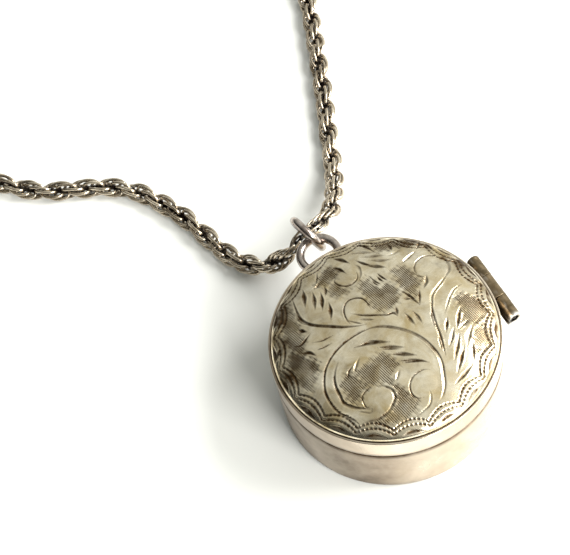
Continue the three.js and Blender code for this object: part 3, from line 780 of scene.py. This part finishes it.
# each ground: outline, how far it is cut down, hatching strength and shade
GROUNDS = [
    ([(-8.0, -3.9), (-6.9, -3.1), (-5.9, -3.6), (-5.7, -5.3), (-6.6, -5.9), (-7.0, -6.6), (-7.9, -6.2)],
     0.05, 1.00, 0.21),
    ([(-5.6, -3.3), (-3.6, -3.1), (-2.0, -2.9), (-1.2, -4.0), (-1.0, -5.2), (-2.2, -5.6), (-2.8, -6.8),
      (-4.4, -5.9), (-5.6, -5.6)], 0.04, 0.92, 0.15),
    ([(-2.9, -7.0), (-2.2, -7.6), (-1.8, -9.2), (-1.4, -10.3), (-2.4, -11.0), (-4.0, -11.1), (-6.0, -10.5),
      (-7.0, -9.9), (-5.2, -9.7), (-3.8, -9.2), (-3.0, -8.2)], 0.04, 0.96, 0.16),
    ([(9.2, -1.0), (10.3, -0.8), (11.4, -1.8), (12.0, -2.6), (11.8, -3.9), (10.8, -4.9), (9.6, -4.9),
      (8.6, -4.6), (8.0, -4.3), (9.0, -2.9)], 0.05, 0.96, 0.26),
    ([(9.2, -5.3), (10.6, -5.1), (10.9, -6.4), (10.2, -7.8), (8.9, -8.5), (7.7, -8.3), (8.0, -7.0)],
     0.04, 1.00, 0.13),
    ([(0.3, 6.6), (1.8, 6.9), (2.2, 4.9), (3.6, 4.8), (4.0, 3.4), (3.0, 1.9), (1.4, 1.7), (0.3, 2.6)],
     0.05, 0.78, 0.21),
    ([(4.5, 6.2), (6.2, 6.2), (6.7, 5.0), (6.8, 3.8), (7.2, 3.2), (6.2, 2.5), (5.2, 1.3), (4.6, 3.0)],
     0.05, 0.78, 0.21),
    ([(-4.0, 9.6), (-2.4, 10.9), (-1.3, 11.2), (-0.7, 9.7), (-1.4, 9.2), (-2.3, 9.1), (-3.1, 8.9)],
     0.05, 0.78, 0.26),
    ([(-3.0, 8.3), (-1.9, 8.6), (-1.5, 7.4), (-0.6, 6.8), (-2.0, 6.4), (-3.2, 7.0)], 0.04, 0.76, 0.19),
    ([(4.7, 11.6), (6.2, 11.0), (7.8, 10.2), (9.4, 8.6), (8.2, 8.8), (6.8, 9.3), (5.6, 9.4), (4.7, 10.0)],
     0.05, 0.80, 0.26),
    ([(-8.3, 9.6), (-8.0, 8.2), (-8.2, 6.4), (-8.6, 4.4), (-9.2, 2.8), (-9.9, 1.6), (-10.6, 3.8),
      (-10.3, 6.4), (-9.4, 8.6)], 0.05, 0.66, 0.16),
    ([(-11.7, 2.6), (-10.6, 3.0), (-9.6, 1.4), (-9.0, -0.2), (-10.2, -1.6), (-11.4, -2.4), (-11.9, 0.0)],
     0.04, 0.66, 0.16),
    ([(-9.8, 1.3), (-9.0, 0.9), (-9.0, -0.4), (-10.0, -0.7), (-10.3, 0.3)], 0.03, 1.00, 0.18),
]
EYES = [((-1.6, 3.9), 1.4), ((-0.4, 8.4), 1.3), ((-5.1, -7.6), 1.6), ((0.4, -8.7), 1.6), ((9.1, 4.2), 1.8)]


def dome_profile(share):
    """Radius and height on the dome's outside, at a share of the way from its middle to its edge."""
    angle = np.linspace(0, math.pi / 2, 600)
    r, z = DOME_R * np.sin(angle), DOME_RISE * np.cos(angle)
    along = lengths_along(np.stack([r, z], 1))
    at = np.interp(share, along / along[-1], angle)
    return DOME_R * np.sin(at), RIM_TOP_Z + DOME_RISE * np.cos(at)


def dome_grid(cells):
    """A square grid laid over the dome with its outer square on the dome's edge, so that its cells are about
    even. Gives each point's radius, angle, height and share of the way to the edge."""
    side = np.linspace(-1, 1, cells + 1)
    a, b = [g.ravel() for g in np.meshgrid(side, side)]
    wide = np.abs(a) > np.abs(b)
    safe_a, safe_b = np.where(a == 0, 1e-12, a), np.where(b == 0, 1e-12, b)
    share = np.where(wide, a, b)
    turn = np.where(wide, math.pi / 4 * b / safe_a, math.pi / 2 - math.pi / 4 * a / safe_b)
    turn = np.where(share < 0, turn + math.pi, turn)
    share = np.abs(share)
    r, z = dome_profile(share)
    return r, turn, z, share


def engrave(e):
    """Everything that is cut into the dome."""
    for outline, sink, strength, shade in GROUNDS:
        e.patch(outline, sink, strength, shade)
    for centre, radius in EYES:
        e.swell(centre, radius, 0.05)
    engrave_border(e)
    engrave_scrolls(e)
    for *line, width, dark in LEAF_CUTS:
        e.cut(np.reshape(line, (3, 2)), width * 1.4, 0.07 + width * 0.2, taper=(0.45, 0.45),
              dark=min(1.0, dark * 1.2), lean=0.25)


def weather_and_shade(e, r, share):
    """Hand-hammered waviness; mottled tarnish and painted shade at the left and back edges, a painted dark
    reflection at the far edge, and tarnish with painted shade in the crease.
    """
    x, y = e.x, e.y
    local = np.random.default_rng(11)
    for _ in range(14):
        k, phase, way = local.uniform(0.25, 0.9), local.uniform(0, 6.3), local.uniform(0, 6.3)
        e.height += 0.006 * np.sin(k * (x * math.cos(way) + y * math.sin(way)) * 2 + phase)
    edge = np.clip((r - DOME_R + 0.65) / 0.6, 0, 1)
    e.height *= 1 - 0.9 * edge ** 2
    # tarnish and painted shadow in the crease at the dome's edge
    crease_tarnish_and_shade = np.clip((share - 0.985) / 0.012, 0, 1)
    # mottled tarnish and painted shade at the left and back, and a painted dark reflection at the far edge
    left = np.clip((-x * 0.93 + y * 0.35 - 8.2) / 5.5, 0, 1)
    back = np.clip((y * 0.8 + x * 0.2 - 9.4) / 5.0, 0, 1)
    far_dark_reflection = np.clip((x * 0.90 + y * 0.44 - 10.4) / 2.4, 0, 1)
    waves = local.uniform((1.0, 0, 0), (3.4, 6.3, 6.3), (10, 3))
    mottle = sum(np.sin(k * (x * math.cos(w) + y * math.sin(w)) + f) for k, w, f in waves) / len(waves)
    mottle = np.clip(0.6 + 2.2 * mottle, 0, 1.3)
    tarnish = mottle * (0.62 * left + 0.42 * back + 0.8 * far_dark_reflection + 0.12)
    e.patina = np.clip(np.maximum(e.patina, crease_tarnish_and_shade) + tarnish, 0, 1)


def dome_underside(rings, turn):
    """Rings of points at these angles, from the dome's edge up, then one point in the middle."""
    inner_r, inner_rise = DOME_R - DOME_T, DOME_RISE - DOME_T
    points = []
    for k in range(rings):
        angle = math.pi / 2 * (1 - k / rings)
        r, z = inner_r * math.sin(angle), RIM_TOP_Z + inner_rise * math.cos(angle)
        points.append(np.stack([r * np.cos(turn), r * np.sin(turn), np.full(len(turn), z)], 1))
    return np.vstack(points + [[(0, 0, RIM_TOP_Z + inner_rise)]])


def make_dome():
    """One closed shell: an evenly divided, engraved top, a thin edge and a plain underside."""
    cells, under_rings = 296, 8
    r, turn, z, share = dome_grid(cells)
    x, y = r * np.cos(turn), r * np.sin(turn)
    e = Engraving(x, y)
    engrave(e)
    weather_and_shade(e, r, share)
    normal = np.stack([x / DOME_R ** 2, y / DOME_R ** 2, (z - RIM_TOP_Z) / DOME_RISE ** 2], 1)
    normal /= np.linalg.norm(normal, axis=1)[:, None]
    top = np.stack([x, y, z], 1) + normal * e.height[:, None]

    # the underside hangs from the points along the grid's outer square
    grid = np.arange(len(top)).reshape(cells + 1, cells + 1)
    rim = np.concatenate([grid[0, :-1], grid[:-1, -1], grid[-1, :0:-1], grid[:0:-1, 0]])
    first, count = len(top), len(rim)
    points = np.vstack([top, dome_underside(under_rings, turn[rim])])
    faces = flipped(strip_faces(cells + 1, cells + 1, False, False))
    faces += [(rim[j], first + j, first + (j + 1) % count, rim[(j + 1) % count]) for j in range(count)]
    faces += disc_faces(under_rings, count, first, False)
    plain = np.zeros(len(points) - first)
    make_piece("engraved_dome", points, faces, "dome_silver", "lid", ["lid_dome"], sharp_deg=50,
               patina=np.concatenate([e.patina, plain]), ground=np.concatenate([e.ground, plain]))


make_dome()


# ---- hinge ----
def extrude_section(section, ends, steps, wear_seed, soft):
    """A closed (x, z) section run along Y, with rounded ends (radii in soft) and a little wear.
    The section runs counter-clockwise."""
    section = np.array(section)
    outward = section - section.mean(0)
    outward /= np.maximum(np.linalg.norm(outward, axis=1), 1e-6)[:, None]
    turn = np.linspace(0, math.pi / 2, 6)[:-1]
    y = np.concatenate([ends[0] + soft[0] * (1 - np.cos(turn)),
                        np.linspace(ends[0] + soft[0], ends[1] - soft[1], steps),
                        ends[1] - soft[1] * (1 - np.cos(turn[::-1]))])
    shrink = np.concatenate([soft[0] * (1 - np.sin(turn)), np.zeros(steps),
                             soft[1] * (1 - np.sin(turn[::-1]))])
    across = section - outward * shrink[:, None, None]
    points = np.stack([across[..., 0], np.repeat(y[:, None], len(section), 1), across[..., 1]], -1)
    local = np.random.default_rng(wear_seed)
    bump = sum(0.016 * np.sin(local.uniform(1, 5) * points[..., 1] + local.uniform(0, 6)
               + local.uniform(1, 4) * points[..., 0]) for _ in range(4))
    points[..., 2] += bump
    points[..., 0] += 0.6 * np.roll(bump, 7, axis=0)
    faces = strip_faces(len(y), len(section), False, True) + end_faces(len(y), len(section))
    return points.reshape(-1, 3), faces


def knuckle_section(leaf_side):
    """A rolled sheet: it comes off the strip on the wall and runs round the pin, and its lip closes on it."""
    def roll(radius, from_turn, to_turn, steps):
        return [(HINGE_X + radius * math.cos(t), HINGE_Z + leaf_side * radius * math.sin(t))
                for t in np.linspace(math.pi * from_turn, math.pi * to_turn, steps)]

    foot_x = BOX_R + 0.32
    leaf = [(foot_x, HINGE_Z + leaf_side * BORE_R), (foot_x, HINGE_Z + leaf_side * BARREL_R)]
    section = roll(BARREL_R, 0.55, -1.18, 40) + roll(BORE_R, -1.16, 0.6, 36) + leaf
    return section if leaf_side < 0 else section[::-1]


def make_knuckle(name, node, leaf_side, body, seed):
    """Neighbours reach towards each other, the back end is rounded off and the open front end is rubbed."""
    low, high = box_mm(node)
    front, back = name == "front_knuckle", name == "back_knuckle"
    ends = (low[1] - (0 if front else KNUCKLE_REACH), high[1] + (0 if back else KNUCKLE_REACH))
    soft = (0.05, 0.34 if back else 0.05)
    points, faces = extrude_section(knuckle_section(leaf_side), ends, 24, seed, soft)
    x, y, z = (points - (HINGE_X, 0, HINGE_Z)).T
    inside = np.clip((BORE_R + 0.12 - np.hypot(x, z)) / 0.12, 0, 1)
    # painted shade on the barrel's side towards the wall
    wall = np.clip((-x - 0.45) / 0.3, 0, 1)
    open_end = bell(y, low[1], 0.3) * front
    ridge = bell(x, -0.30 - 0.10 * np.sin(3.1 * y), 0.10) * (z > 0) * np.clip(np.sin(2.3 * y + seed), 0, 1)
    make_piece(name, points, faces, "hinge_silver", body, [node], sharp_deg=50,
               patina=np.clip(inside + 0.8 * wall, 0, 1),
               worn=np.clip((open_end * 0.9 + ridge * 0.3) * (1 - inside), 0, 1))


def make_bearer(name, node, body, seed):
    """A strip soldered to the outside of a wall, following its curve, with rounded edges."""
    low, high = box_mm(node)
    across, up = 40, 10
    inner_r, outer_x = BOX_R - 0.02, BOX_R + 0.3
    local = np.random.default_rng(seed)
    rows = []
    for i in range(across + 1):
        y = low[1] + (high[1] - low[1]) * i / across
        wall_x = math.sqrt(inner_r ** 2 - y ** 2)
        edge = min(i, across - i) / across
        face_x = wall_x + (outer_x - wall_x) * min(1, 0.55 + edge * 9)
        ring = []
        for k in range(up + 1):
            t = k / up
            soft = 0.10 * (abs(2 * t - 1) ** 6) + 0.012 * local.uniform(-1, 1)
            ring.append((face_x - soft, y, low[2] + (high[2] - low[2]) * t))
        ring += [(wall_x, y, high[2]), (wall_x, y, low[2])]
        rows.append(ring)
    n = up + 3
    points = np.array(rows).reshape(-1, 3)
    faces = flipped(strip_faces(across + 1, n, False, True) + end_faces(across + 1, n))
    edges = np.minimum(np.abs(points[:, 2] - low[2]), np.abs(points[:, 2] - high[2]))
    make_piece(name, points, faces, "hinge_silver", body, [node],
               patina=np.clip(0.35 + 0.6 * bell(edges, 0, 0.15), 0, 1))


def make_pin():
    """The hinge pin: a rod with rounded ends, set back a little inside its CAD length."""
    low, high = box_mm("hinge_pin")
    path = [(HINGE_X, y, HINGE_Z) for y in np.linspace(low[1] + 0.12, high[1] - 0.12, 30)]
    points, faces = tube(path, PIN_R, 20, round_ends=4)
    make_piece("hinge_pin_rod", points, faces, "wire_silver", "base", ["hinge_pin"],
               patina=np.full(len(points), 0.92))


make_knuckle("front_knuckle", "hinge_knuckle_front", -1, "base", 21)
make_knuckle("back_knuckle", "hinge_knuckle_back", -1, "base", 22)
make_knuckle("lid_knuckle", "hinge_knuckle_lid", 1, "lid", 23)
make_bearer("base_hinge_strip", "base_hinge_bearer", "base", 24)
make_bearer("lid_hinge_strip", "lid_hinge_bearer", "lid", 25)
make_pin()


# ---- bail and jump ring ----
def worn_radii(count, radius, seed, amount=0.012):
    """A wire's radius at each point of a ring, thinner and thicker by turns."""
    local = np.random.default_rng(seed)
    t = round_angles(count)
    return radius + amount * sum(np.sin(k * t + local.uniform(0, 6)) for k in (2, 3, 5))


def make_bail():
    """A round wire ring soldered to the wall, with the solder's fillet on both sides of the joint."""
    steps = 96
    path = circle_path(BAIL_CENTRE, (0, 0, 1), BAIL_R, steps)
    ring = tube(path, worn_radii(steps, BAIL_WIRE_R + 0.05, 31), 20, closed=True)
    rows, columns = 10, 28
    half_width, half_height, reach = 1.75, 0.66, 0.42
    fillet = []
    for i in range(rows + 1):
        lift = math.sin(math.pi / 2 * i / rows)
        spread = max(math.cos(math.pi / 2 * i / rows), 0.03)
        for j in range(columns):
            t = 2 * math.pi * j / columns
            x = BAIL_CENTRE[0] + half_width * spread * math.cos(t)
            z = BAIL_CENTRE[2] + half_height * spread * math.sin(t)
            fillet.append((x, math.sqrt(BOX_R ** 2 - x ** 2) - 0.03 + reach * lift, z))
    fillet_faces = flipped(strip_faces(rows + 1, columns, False, True) + end_faces(rows + 1, columns))
    points, faces = merge([ring, (np.array(fillet), fillet_faces)])
    # painted shade on the ring and its fillet close to the wall
    painted_shade_near_wall = np.clip((BOX_R + 1.4 - np.hypot(points[:, 0], points[:, 1])) / 1.2, 0, 1)
    make_piece("bail_ring", points, faces, "wire_silver", "base", ["bail"],
               patina=np.clip(0.1 + 0.85 * painted_shade_near_wall, 0, 1))


def make_jump_ring():
    """A bent wire ring; the saw cut where its ends meet sits at the bottom, inside the bail."""
    steps, cut_deg, cut_width_deg = 110, -98.6, 2
    path = circle_path(JUMP_CENTRE, JUMP_NORMAL, JUMP_R, steps, cut_deg, cut_deg + 360 - cut_width_deg)
    points, faces = tube(path, worn_radii(steps, JUMP_WIRE_R + 0.07, 37, 0.01), 20)
    around = np.linalg.norm(points - JUMP_CENTRE, axis=1)
    make_piece("jump_ring_wire", points, faces, "wire_silver", "jump_ring", ["jump_ring"],
               patina=np.clip(0.15 + 0.6 * (JUMP_R + 0.1 - around) / 0.5, 0, 0.75))


make_bail()
make_jump_ring()


# ---- rope chain ----
LINK_WIRE_R = 0.215
LINK_PITCH = 0.43
LINK_CENTRE_R = 0.52  # from the chain's line to the link's middle
LINK_HALF_WIDTH = 0.66
LINK_HALF_LENGTH = 1.42
LINK_LEAN = math.radians(3)
HALF_TWIST = 4.1  # the length in which the rope makes half a turn


def make_chain(path, first_turn):
    """A rope chain. Each link is a long closed ring that runs over the chain's outside and back through its
    middle. Links alternate between two sides, and each is turned a little further about the chain's line
    than the one before, so that the two rows wind into a rope."""
    around, across = 20, 7
    tangent, side, other = frames_along(path, False)
    along = lengths_along(path)
    count = int((along[-1] - 0.6) / LINK_PITCH)
    u = round_angles(around)
    line = np.stack([LINK_HALF_WIDTH * np.cos(u), 0 * u, LINK_HALF_LENGTH * np.sin(u)], 1)
    link, _ = tube(line, LINK_WIRE_R, across, closed=True)
    c, s = math.cos(LINK_LEAN), math.sin(LINK_LEAN)
    out = link[:, 0] + LINK_CENTRE_R
    turned = link[:, 1] * c + link[:, 2] * s
    ahead = link[:, 2] * c - link[:, 1] * s
    local = np.random.default_rng(41)
    points, shade = [], []
    for i in range(count):
        middle = LINK_PITCH * (i + 0.5) + 0.3
        turn = first_turn + i * math.pi * (1 + LINK_PITCH / HALF_TWIST) + local.normal(0, 0.06)
        # the lay is uneven, as in a worn rope
        turn += 0.30 * math.sin(0.9 * middle / HALF_TWIST * 2 + 1.0) + 0.2 * math.sin(0.37 * middle)
        slim = 0.76 + 0.24 * min(1, max(0, (middle - 1.5) / 5))  # drawn tight where the jump ring holds it
        x = slim * (out * math.cos(turn) - turned * math.sin(turn))
        y = slim * (out * math.sin(turn) + turned * math.cos(turn))
        place = np.clip(middle + ahead, 0, along[-1])
        k = np.minimum(np.searchsorted(along, place), len(path) - 1)
        centre = np.stack([np.interp(place, along, path[:, m]) for m in range(3)], 1)
        beyond = (middle + ahead - place)[:, None]
        points.append(centre + x[:, None] * side[k] + y[:, None] * other[k] + beyond * tangent[k])
        shade.append(np.clip((0.88 - np.hypot(x, y)) / 0.45, 0, 1))
    points = np.vstack(points)
    one = strip_faces(around, across, True, True)
    faces = [tuple(m + i * around * across for m in f) for i in range(count) for f in flipped(one)]
    points[:, 2] = np.maximum(points[:, 2], 0.0)
    return points, faces, np.concatenate(shade)


def make_arm(name, path, nodes):
    """One arm of the necklace, in place of its CAD solids."""
    points, faces, shade = make_chain(path, 0.4)
    return make_piece(name, points, faces, "chain_silver", "base", nodes, sharp_deg=180, patina=shade)


left_chain = make_arm("left_rope_chain", LEFT_PATH, ["chain_left_run", "chain_left_coil", "chain_left_tail"])
upper_chain = make_arm("upper_rope_chain", UPPER_PATH,
                       ["chain_upper_run", "chain_upper_coil", "chain_upper_tail"])


# ---- end fittings ----
LOOP_WIRE_R = 0.25


def placed(local_points, origin):
    """From a fitting's own frame, +X out of the chain's end, to the row frame, where both ends run to -X."""
    return np.asarray(local_points, float) * (-1, -1, 1) + np.asarray(origin)


def make_cap(name, node, origin, upright):
    """A cup that grips the chain's last links, with a bead line round its mouth and a wire loop on its
    end."""
    mouth, shoulder, end = 0.3, 1.45, 1.9
    profile = [(0.93, mouth), (1.13, mouth), (1.15, mouth + 0.12), (1.08, mouth + 0.2), (1.08, mouth + 0.42),
               (1.14, mouth + 0.5), (1.08, mouth + 0.58), (1.07, shoulder - 0.25), (0.95, shoulder),
               (0.7, shoulder + 0.25), (0.45, end - 0.05), (0.2, end), (0.12, end - 0.1), (0.6, shoulder),
               (0.88, shoulder - 0.3), (0.92, mouth + 0.2)]
    segments = 48
    angles = round_angles(segments)
    cup = np.array([(x, r * math.cos(a), r * math.sin(a)) for a in angles for r, x in profile])
    cup_faces = flipped(strip_faces(segments, len(profile), True, True))
    loop_line = circle_path((end + 0.8, 0, 0), (0, 1, 0) if upright else (0, 0, 1), 0.8, 40)
    points, faces = merge([(cup, cup_faces), tube(loop_line, LOOP_WIRE_R, 12, closed=True)])
    return make_piece(name, placed(points, origin), faces, "wire_silver", "base", [node], sharp_deg=40,
                      patina=np.clip(0.9 - points[:, 0] * 0.5, 0, 0.8))


def make_ring(name, node, wire_r, seed):
    """A wire ring that takes its place, size and tilt from its CAD node."""
    mesh = frame["nodes"][node].data
    points = np.array([v.co for v in mesh.vertices]) / MM
    centre = points.mean(0)
    normal = np.linalg.svd(points - centre, full_matrices=False)[2][2]
    radius = np.linalg.norm(points - centre, axis=1).max() - wire_r
    steps = 72
    path = circle_path(centre, normal, radius, steps, 0, 358)
    ring, faces = tube(path, worn_radii(steps, wire_r, seed, 0.004), 14)
    return make_piece(name, ring, faces, "wire_silver", "base", [node], patina=np.full(len(ring), 0.15))


# sizes of the clasp, and places round it in degrees from -X
CLASP_R = 2.25
CLASP_TUBE_R = 0.75
CLASP_BORE_R = 0.5
CLASP_BOLT_R = 0.42
CLASP_LOOP_R = 0.85
GAP_FROM, GAP_TO = 25, 65
BOLT_TIP, BOLT_END = 20, 112
SPRING_SEAT = 205
LUG_ANGLE = 90
BOLT_TRAVEL = 46
SLOT_HALF_HEIGHT = 0.22


def clasp_arc(from_deg, to_deg, steps):
    """Points of an arc along the middle of the clasp's tube."""
    return circle_path(CLASP_CENTRE, (0, 0, 1), CLASP_R, steps, from_deg + 180, to_deg + 180)


def boolean(piece, tool, operation):
    """Cuts a closed mesh with another or joins the two, and leaves no modifier or other mesh behind."""
    mesh = bpy.data.meshes.new("cutter")
    mesh.from_pydata((tool[0] * MM).tolist(), [], tool[1])
    cutter = add_object("cutter", mesh)
    modifier = piece.modifiers.new("cut", "BOOLEAN")
    modifier.operation = operation
    modifier.solver = "EXACT"
    modifier.object = cutter
    graph = bpy.context.evaluated_depsgraph_get()
    result = bpy.data.meshes.new_from_object(piece.evaluated_get(graph))
    piece.modifiers.clear()
    piece.data = result
    bpy.data.objects.remove(cutter)


def make_clasp_body():
    """A hollow ring with a gap that the bolt closes, a slot for the bolt's lug and a loop for its link."""
    points, faces = tube(clasp_arc(GAP_TO, 360 + GAP_FROM, 90), CLASP_TUBE_R, 28)
    body = make_piece("bolt_ring_case", points, faces, "wire_silver", "base", ["clasp_body"], sharp_deg=40)
    boolean(body, tube(clasp_arc(GAP_TO - 2, SPRING_SEAT, 50), CLASP_BORE_R, 24), "DIFFERENCE")
    boolean(body, tube(clasp_arc(360 + GAP_FROM - 7, 360 + GAP_FROM + 2, 8), CLASP_BORE_R, 24), "DIFFERENCE")
    slot = np.linspace(math.radians(LUG_ANGLE - 6 + 180), math.radians(LUG_ANGLE + BOLT_TRAVEL + 7 + 180), 16)
    outline = [(r * math.cos(t), r * math.sin(t), 0)
               for r, turns in ((CLASP_R + 1, slot), (CLASP_R, slot[::-1])) for t in turns]
    n = len(outline)
    height = np.array([0, 0, SLOT_HALF_HEIGHT])
    cutter = CLASP_CENTRE + np.vstack([outline - height, outline + height])
    cutter_faces = end_faces(2, n) + [(j, (j + 1) % n, n + (j + 1) % n, n + j) for j in range(n)]
    boolean(body, (cutter, cutter_faces), "DIFFERENCE")
    loop_centre = CLASP_CENTRE + (CLASP_R + CLASP_TUBE_R + CLASP_LOOP_R - 0.15, 0, 0)
    loop = tube(circle_path(loop_centre, (0, 0, 1), CLASP_LOOP_R, 40), LOOP_WIRE_R, 12, closed=True)
    boolean(body, loop, "UNION")
    body.data.shade_smooth()
    body.data.set_sharp_from_angle(angle=math.radians(40))
    return body


def make_clasp_bolt():
    """The sliding bolt, with the lug and knob that a thumbnail pulls."""
    knob_r, stem_r, stem_length = 0.32, 0.17, 1.0
    rod = tube(clasp_arc(BOLT_TIP + 1, BOLT_END, 40), CLASP_BOLT_R, 18, round_ends=3)
    lug_angle = math.radians(LUG_ANGLE + 180)
    outward = np.array([math.cos(lug_angle), math.sin(lug_angle), 0])
    stem_line = [CLASP_CENTRE + outward * r for r in np.linspace(CLASP_R, CLASP_R + stem_length, 8)]
    stem = tube(stem_line, stem_r, 12)
    along = np.linspace(-0.98, 0.98, 16)
    knob_centre = CLASP_R + stem_length + 0.25
    knob = tube([CLASP_CENTRE + outward * (knob_centre + knob_r * t) for t in along],
                knob_r * np.sqrt(1 - along ** 2), 20)
    points, faces = merge([rod, stem, knob])
    return make_piece("bolt_ring_bolt", points, faces, "wire_silver", "clasp_bolt", ["clasp_bolt"],
                      sharp_deg=40, patina=np.full(len(points), 0.12))


def make_clasp_spring():
    """A small coil spring in the clasp's bore, from the bolt's end to the seat. It is wound wide enough for
    the bolt to slide into it."""
    turns, steps, coil_r, wire_r = 10, 400, 0.462, 0.03
    t = np.linspace(0, 1, steps)
    first = LUG_ANGLE + BOLT_TRAVEL + 5
    angle = np.radians(first + (SPRING_SEAT - 4 - first) * t + 180)
    phase = 2 * math.pi * turns * t
    r = CLASP_R + coil_r * np.cos(phase)
    path = CLASP_CENTRE + np.stack([r * np.cos(angle), r * np.sin(angle), coil_r * np.sin(phase)], 1)
    points, faces = tube(path, wire_r, 8)
    return make_piece("bolt_ring_spring", points, faces, "spring_steel", "base", ["clasp_spring"])


left_cap = make_cap("left_cap", "left_end_cap", LEFT_TAIL[-1], False)
upper_cap = make_cap("upper_cap", "upper_end_cap", UPPER_TAIL[-1], True)
link_ring = make_ring("left_link_wire", "left_link_ring", LOOP_WIRE_R, 51)
catch_ring = make_ring("catch_ring_wire", "catch_ring", 0.35, 52)
case, bolt, spring = make_clasp_body(), make_clasp_bolt(), make_clasp_spring()


# ---- floor and light, in metres ----
def make_floor():
    """A plain pale floor, matt and the same all over."""
    half = 1.5
    mesh = bpy.data.meshes.new("floor")
    corners = [(-half, -half, 0), (half, -half, 0), (half, half, 0), (-half, half, 0)]
    mesh.from_pydata(corners, [], [(0, 1, 2, 3)])
    material = bpy.data.materials.new("floor")
    material.use_nodes = True
    shader = material.node_tree.nodes["Principled BSDF"]
    shader.inputs["Base Color"].default_value = (0.86, 0.865, 0.83, 1)
    shader.inputs["Roughness"].default_value = 0.85
    mesh.materials.append(material)
    add_object("floor", mesh)


def window(name, place, size, power, colour):
    """A square light that shines towards the object."""
    data = bpy.data.lights.new(name, "AREA")
    data.shape = "SQUARE"
    data.size = size
    data.energy = power
    data.color = colour
    light = add_object(name, data)
    light.location = place
    light.rotation_euler = (-Vector(place)).to_track_quat("-Z", "Y").to_euler()


BRIGHT_SIDE = (0.80, 0.02, 0.60)  # the direction in which the room is brightest


def make_light():
    """A room with a bright side and a dim one, and two windows at the bright side."""
    world = bpy.data.worlds.new("studio")
    world.use_nodes = True
    tree = world.node_tree
    toward = new_node(tree, "ShaderNodeVectorMath")
    toward.operation = "DOT_PRODUCT"
    set_input(tree, toward.inputs[0], new_node(tree, "ShaderNodeTexCoord").outputs["Generated"])
    set_input(tree, toward.inputs[1], BRIGHT_SIDE)
    strength = new_node(tree, "ShaderNodeMapRange", Value=toward.outputs["Value"], From_Min=-0.25,
                        From_Max=0.85, To_Min=0.06, To_Max=0.95).outputs["Result"]
    background = tree.nodes["Background"]
    set_input(tree, background.inputs["Strength"], strength)
    set_input(tree, background.inputs["Color"], (0.96, 0.98, 0.93, 1))
    bpy.context.scene.world = world
    window("window", (0.40, -0.10, 0.33), 0.31, 4.2, (1.0, 0.99, 0.98))
    window("side_window", (0.12, -0.42, 0.25), 0.24, 3.1, (1.0, 0.99, 0.97))


make_floor()
make_light()
bpy.context.scene.view_settings.view_transform = "Standard"
